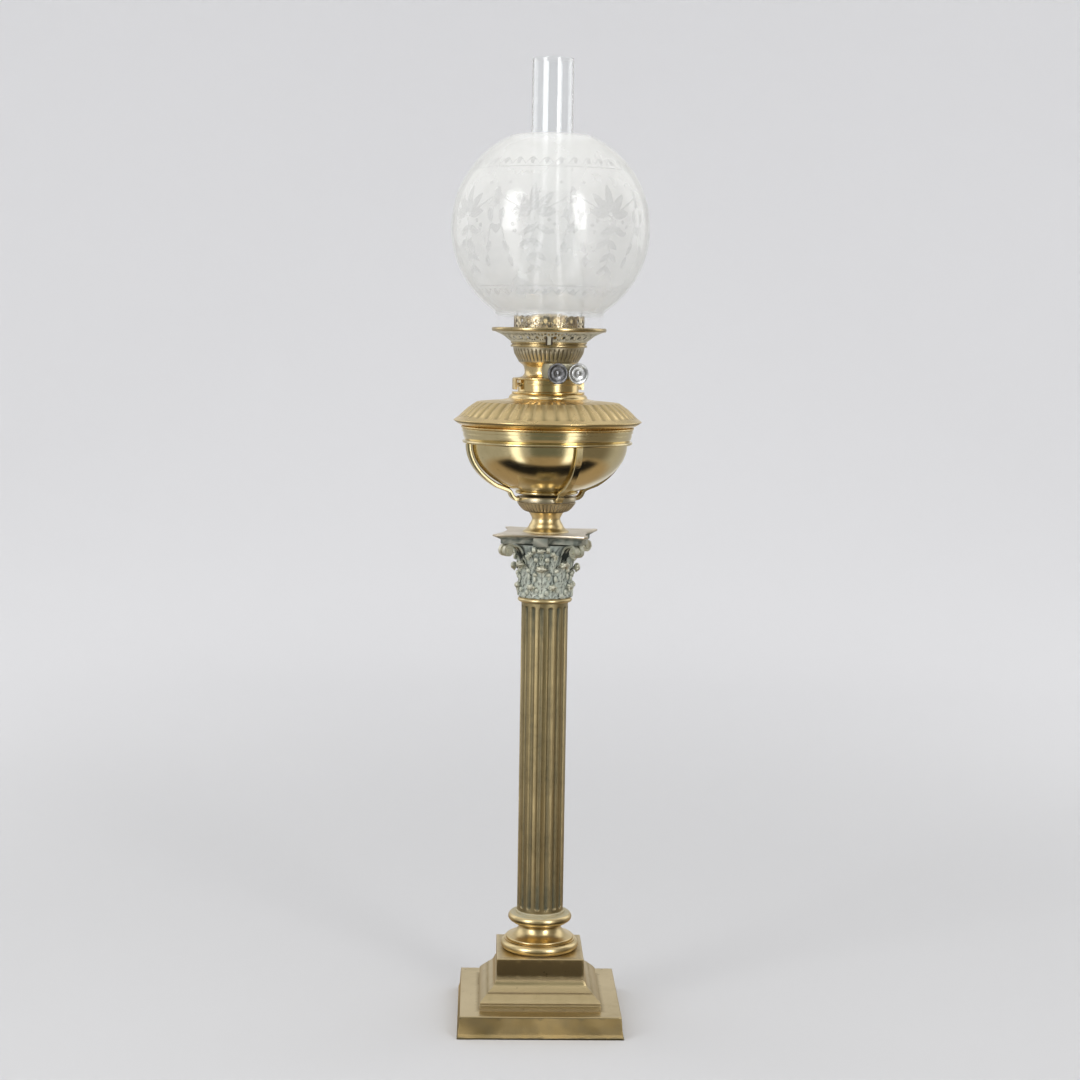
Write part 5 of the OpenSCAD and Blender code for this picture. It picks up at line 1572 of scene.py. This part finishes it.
@dataclass
class EtchedPattern:
    """Generic sprays of leaves between two borders, as signed distances on the globe in mm."""

    radius: float
    centre: float
    sprays: int = 8

    def __post_init__(self) -> None:
        """Lays out the leaves, stems and berries of one spray."""
        self.leaves: list[Leaf] = []
        for turn, length in ((0, 27.0), (-40, 24.0), (40, 24.0), (-80, 19.0), (80, 19.0)):
            a = math.radians(90 + turn)
            self.leaves.append(Leaf(3 * math.cos(a), 8 + 3 * math.sin(a), a, length, 5.6))
        stem = [(0.0, 8.0), (3.0, -2.0), (-2.5, -14.0), (2.0, -26.0), (0.0, -38.0)]
        for k, (x, y) in enumerate(stem[1:]):
            size = 16.0 - 1.6 * k
            for way in (-1, 1):
                self.leaves.append(Leaf(x, y, math.radians(-90 + way * (62 - 6 * k)), size, size * 0.27))
        for way in (-1, 1):
            for x, y, turn, size in ((34.0, 26.0, 58, 15.0), (34.0, 26.0, -62, 15.0), (31.0, 2.0, 100, 13.0),
                                     (31.0, 0.0, -50, 13.0), (24.0, -26.0, 62, 12.0), (24.0, -28.0, -100, 12.0)):
                self.leaves.append(Leaf(way * x, y, math.radians(90 - way * (90 - turn)), size, size * 0.29))
        vine = [(2.0, 8.0), (34.0, 26.0), (31.0, 1.0), (24.0, -27.0)]
        self.stems = list(zip(stem, stem[1:]))
        self.stems += [((way * a[0], a[1]), (way * b[0], b[1])) for a, b in zip(vine, vine[1:]) for way in (-1, 1)]
        berries = ((14.0, 3.0), (19.0, -1.0), (17.0, -7.0), (25.0, 38.0))
        self.dots = [(way * x, y, 1.7) for way in (-1, 1) for x, y in berries]

    @staticmethod
    def leaf(x: float, y: float, leaf: Leaf) -> tuple[float, float]:
        """How far inside a leaf a point lies, and how far from its nearest vein."""
        dx, dy = x - leaf.x, y - leaf.y
        along = dx * math.cos(leaf.turn) + dy * math.sin(leaf.turn)
        off = abs(dy * math.cos(leaf.turn) - dx * math.sin(leaf.turn))
        u = along / leaf.length
        if not -0.2 < u < 1.2:
            return -9.0, 9.0
        half = leaf.half * 2.05 * max(0.0, u * (1 - u)) ** 0.75 * (1.25 - 0.5 * u)
        side = abs((along - off * 1.1) % 3.6 - 1.8) * 0.8
        return half - off - (0.0 if 0 < u < 1 else 0.8), min(off, side)

    def at(self, p: Vector) -> tuple[float, float, float, float]:
        """Pattern, vein, clearness and outer face at a point of the globe."""
        r = math.hypot(p.x, p.y)
        clear = clamp((676.5 - p.z) / 1.6 + 0.5)
        outer = 1.0 if math.hypot(r, p.z - self.centre) > self.radius - 1.0 else 0.0
        if not outer or clear >= 1.0:
            return -9.0, 9.0, 1.0 if p.z < 677 else clear, outer
        turn = math.atan2(p.x, -p.y)
        y = math.asin(max(-1.0, min(1.0, (p.z - self.centre) / self.radius))) * self.radius
        pitch = 2 * math.pi / self.sprays
        x = ((turn + pitch / 2 + 0.2) % pitch - pitch / 2) * self.radius * 0.98
        best, rib = -9.0, 9.0
        if -56 < y < 48:
            for leaf in self.leaves:
                d, v = self.leaf(x, y, leaf)
                if d > best:
                    best, rib = d, v
            for a, b in self.stems:
                best = self.line(best, x, y, a, b, 0.55)
            for cx, cy, size in self.dots:
                best = max(best, size - math.hypot(x - cx, y - cy))
        for level, way in ((58.0, 1), (-62.0, -1)):
            arch = abs(math.sin(turn * 18))
            best = max(best, 0.8 - abs(y - level - way * 7.0 * arch), 0.6 - abs(y - level + way * 3.0))
            spot = (turn * 36 / (2 * math.pi)) % 1 - 0.5
            across = spot * 2 * math.pi * r / 36
            best = max(best, 2.1 - math.hypot(across * 1.2, (y - level - way * 2.8) * 0.8))
        return best, rib, clear, outer

    @staticmethod
    def line(best: float, x: float, y: float, a: Point, b: Point, half: float) -> float:
        """Adds a thin stem to the pattern."""
        run = Vector(b) - Vector(a)
        t = clamp((Vector((x, y)) - Vector(a)).dot(run) / run.length_squared)
        return max(best, half - (Vector((x, y)) - Vector(a) - run * t).length)


# ---------------------------------------------------------------- studio


@dataclass
class Studio:
    """Pale round backdrop, soft lights, and the photograph's camera."""

    distance: float = 1961.0
    height: float = 656.0
    heading: float = 1.652
    pitch: float = 5.62
    roll: float = 0.90
    focal_px: float = 2068.0
    bearing: float = 1.812
    photo_size: int = 1080
    aim: Triple = (0, 0, 0.45)

    def build(self) -> None:
        """Builds the whole set."""
        self.backdrop()
        self.world()
        self.lights()
        self.camera()
        bpy.context.scene.view_settings.view_transform = "Standard"

    def backdrop(self) -> None:
        """Round floor that curves up into a wall. Metal mirrors a room of its own in it: mirror rays see a glowing
        painted room with a dim front, a darker right side, a warm floor, a dark table and bright strips, as painted
        reflections and highlights.
        """
        outline = [(0.0, 0.0), (600.0, 0.0), (1900.0, 0.0)] + arc(1900, 1300, 1500, 1300, -90, 0, 20)
        obj = revolve("backdrop", outline + [(3400.0, 3600.0)], 96, None, 80.0, False)
        obj.data.flip_normals()
        n = Nodes("backdrop_paper")
        n.tree.nodes.remove(n.shader)
        flat = n.add("VectorMath", {0: n.place, 1: (1.0, 1.0, 0.0)}, operation="MULTIPLY")
        away = n.add("VectorMath", {0: flat.outputs["Vector"]}, operation="LENGTH").outputs["Value"]
        split = n.add("SeparateXYZ", {"Vector": n.place}).outputs
        paper = n.mix(n.ramp(away, 0.5, 2.6), (0.56, 0.56, 0.565), (0.82, 0.82, 0.83))
        front = n.math("DIVIDE", split["Y"], away)
        side = n.math("DIVIDE", split["X"], away)
        # Painted reflection: a dim front and a darker right side, seen only in mirrors.
        room = n.mix(n.ramp(front, -0.93, -0.86), (0.17, 0.18, 0.15), (0.48, 0.48, 0.46))
        shade = n.times(n.ramp(side, 0.62, 0.74), n.ramp(front, 0.5, -0.1))
        room = n.mix(shade, room, (0.20, 0.18, 0.14))
        room = n.mix(n.ramp(front, 0.90, 0.96), room, (0.74, 0.74, 0.73))
        # Painted reflection: a warm floor near the lamp, seen only in mirrors.
        wall = n.mix(n.ramp(away, 0.6, 1.1), (0.42, 0.33, 0.22), room)
        # Painted reflection: a dark table under the lamp, seen only in mirrors.
        across = n.times(n.ramp(split["X"], -0.80, -0.60), n.ramp(split["X"], 0.80, 0.60))
        along = n.times(n.ramp(split["Y"], -0.34, -0.30), n.ramp(split["Y"], 0.14, -0.04))
        table = n.times(across, along)
        wall = n.mix(table, wall, (0.012, 0.012, 0.012))
        # Painted highlights: bright strips at the soft boxes' bearings, seen only in mirrors.
        left = n.times(n.ramp(side, -0.84, -0.78), n.ramp(side, -0.62, -0.68))
        right = n.times(n.ramp(side, 0.40, 0.46), n.ramp(side, 0.66, 0.60))
        box = n.times(n.plus(left, right), n.ramp(front, 0.0, -0.3))
        box = n.times(box, n.times(n.ramp(away, 0.36, 0.6), n.scaled(table, 1.0, 0.0)))
        ray = n.add("LightPath").outputs
        # Camera and diffuse rays see the paper; mirror rays see the glowing painted room.
        choice = n.add("MixShader", {
            "Fac": n.math("SUBTRACT", ray["Is Glossy Ray"], ray["Is Transmission Ray"]),
            1: n.add("BsdfDiffuse", {"Color": paper}).outputs["BSDF"],
            2: n.add("Emission", {"Color": n.mix(box, wall, (2.05, 2.05, 2.0))}).outputs["Emission"],
        })
        n.feed(n.output, {"Surface": choice.outputs["Shader"]})
        obj.data.materials.append(n.material)

    def world(self) -> None:
        """Even pale light from above the backdrop."""
        world = bpy.data.worlds.new("studio")
        world.use_nodes = True
        bpy.context.scene.world = world
        light = world.node_tree.nodes["Background"].inputs
        light["Color"].default_value = (1.0, 1.0, 1.0, 1.0)
        light["Strength"].default_value = 0.7

    def lights(self) -> None:
        """Two tall soft boxes in front, one overhead and two behind."""
        spots = [
            ("left_box", (-1.5, -1.35, 1.3), (0.7, 1.5), 14.0),
            ("right_box", (1.05, -1.72, 1.3), (0.5, 1.4), 12.0),
            ("top_box", (0.0, -0.3, 2.6), (2.4, 2.4), 24.0),
            ("back_left", (-1.7, 1.1, 1.3), (1.3, 1.8), 6.0),
            ("back_right", (1.75, 1.0, 1.3), (1.3, 1.8), 6.0),
        ]
        for name, at, size, power in spots:
            data = bpy.data.lights.new(name, "AREA")
            data.shape = "RECTANGLE"
            data.size, data.size_y = size
            data.energy = power
            obj = new_object(name, data)
            obj.location = at
            obj.rotation_euler = (Vector(self.aim) - Vector(at)).to_track_quat("-Z", "Y").to_euler()
            obj.visible_glossy = name != "top_box"

    def camera(self) -> None:
        """Camera where the photograph was taken from."""
        h, p, r = (math.radians(a) for a in (self.heading, self.pitch, self.roll))
        forward = Vector((math.sin(h) * math.cos(p), math.cos(h) * math.cos(p), -math.sin(p)))
        level = Vector((math.cos(h), -math.sin(h), 0))
        rise = level.cross(forward)
        right = level * math.cos(r) + rise * math.sin(r)
        up = rise * math.cos(r) - level * math.sin(r)
        data = bpy.data.cameras.new("camera")
        data.sensor_width = 36.0
        data.lens = self.focal_px / self.photo_size * data.sensor_width
        data.clip_start = 0.05
        obj = new_object("camera", data)
        bearing = math.radians(self.bearing)
        spot = Vector((-math.sin(bearing), -math.cos(bearing), 0)) * self.distance
        matrix = Matrix((right, up, -forward)).transposed().to_4x4()
        matrix.translation = Vector((spot.x, spot.y, self.height)) * MM
        obj.matrix_world = matrix
        bpy.context.scene.camera = obj


def main() -> None:
    """Loads the frame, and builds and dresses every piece."""
    logging.basicConfig(level=logging.INFO, format="%(name)s: %(message)s")
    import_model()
    palette = Palette()
    Studio().build()
    Plinth(palette).build()
    ColumnBase(palette).build()
    Column(palette).build()
    Capital(palette).build()
    Holder(palette).build()
    for node in ("tie_rod", "bottom_washer", "bottom_nut", "top_nut"):
        coat(node, palette.rod)
    Font(palette).build()
    Burner(palette).build()
    for side in (-1, 1):
        Winder(palette, side).build()
    for node in ("left_wick", "right_wick"):
        coat(node, palette.cotton)
    Chimney(palette).build()
    Globe(palette).build()


if __name__ == "__main__":
    main()
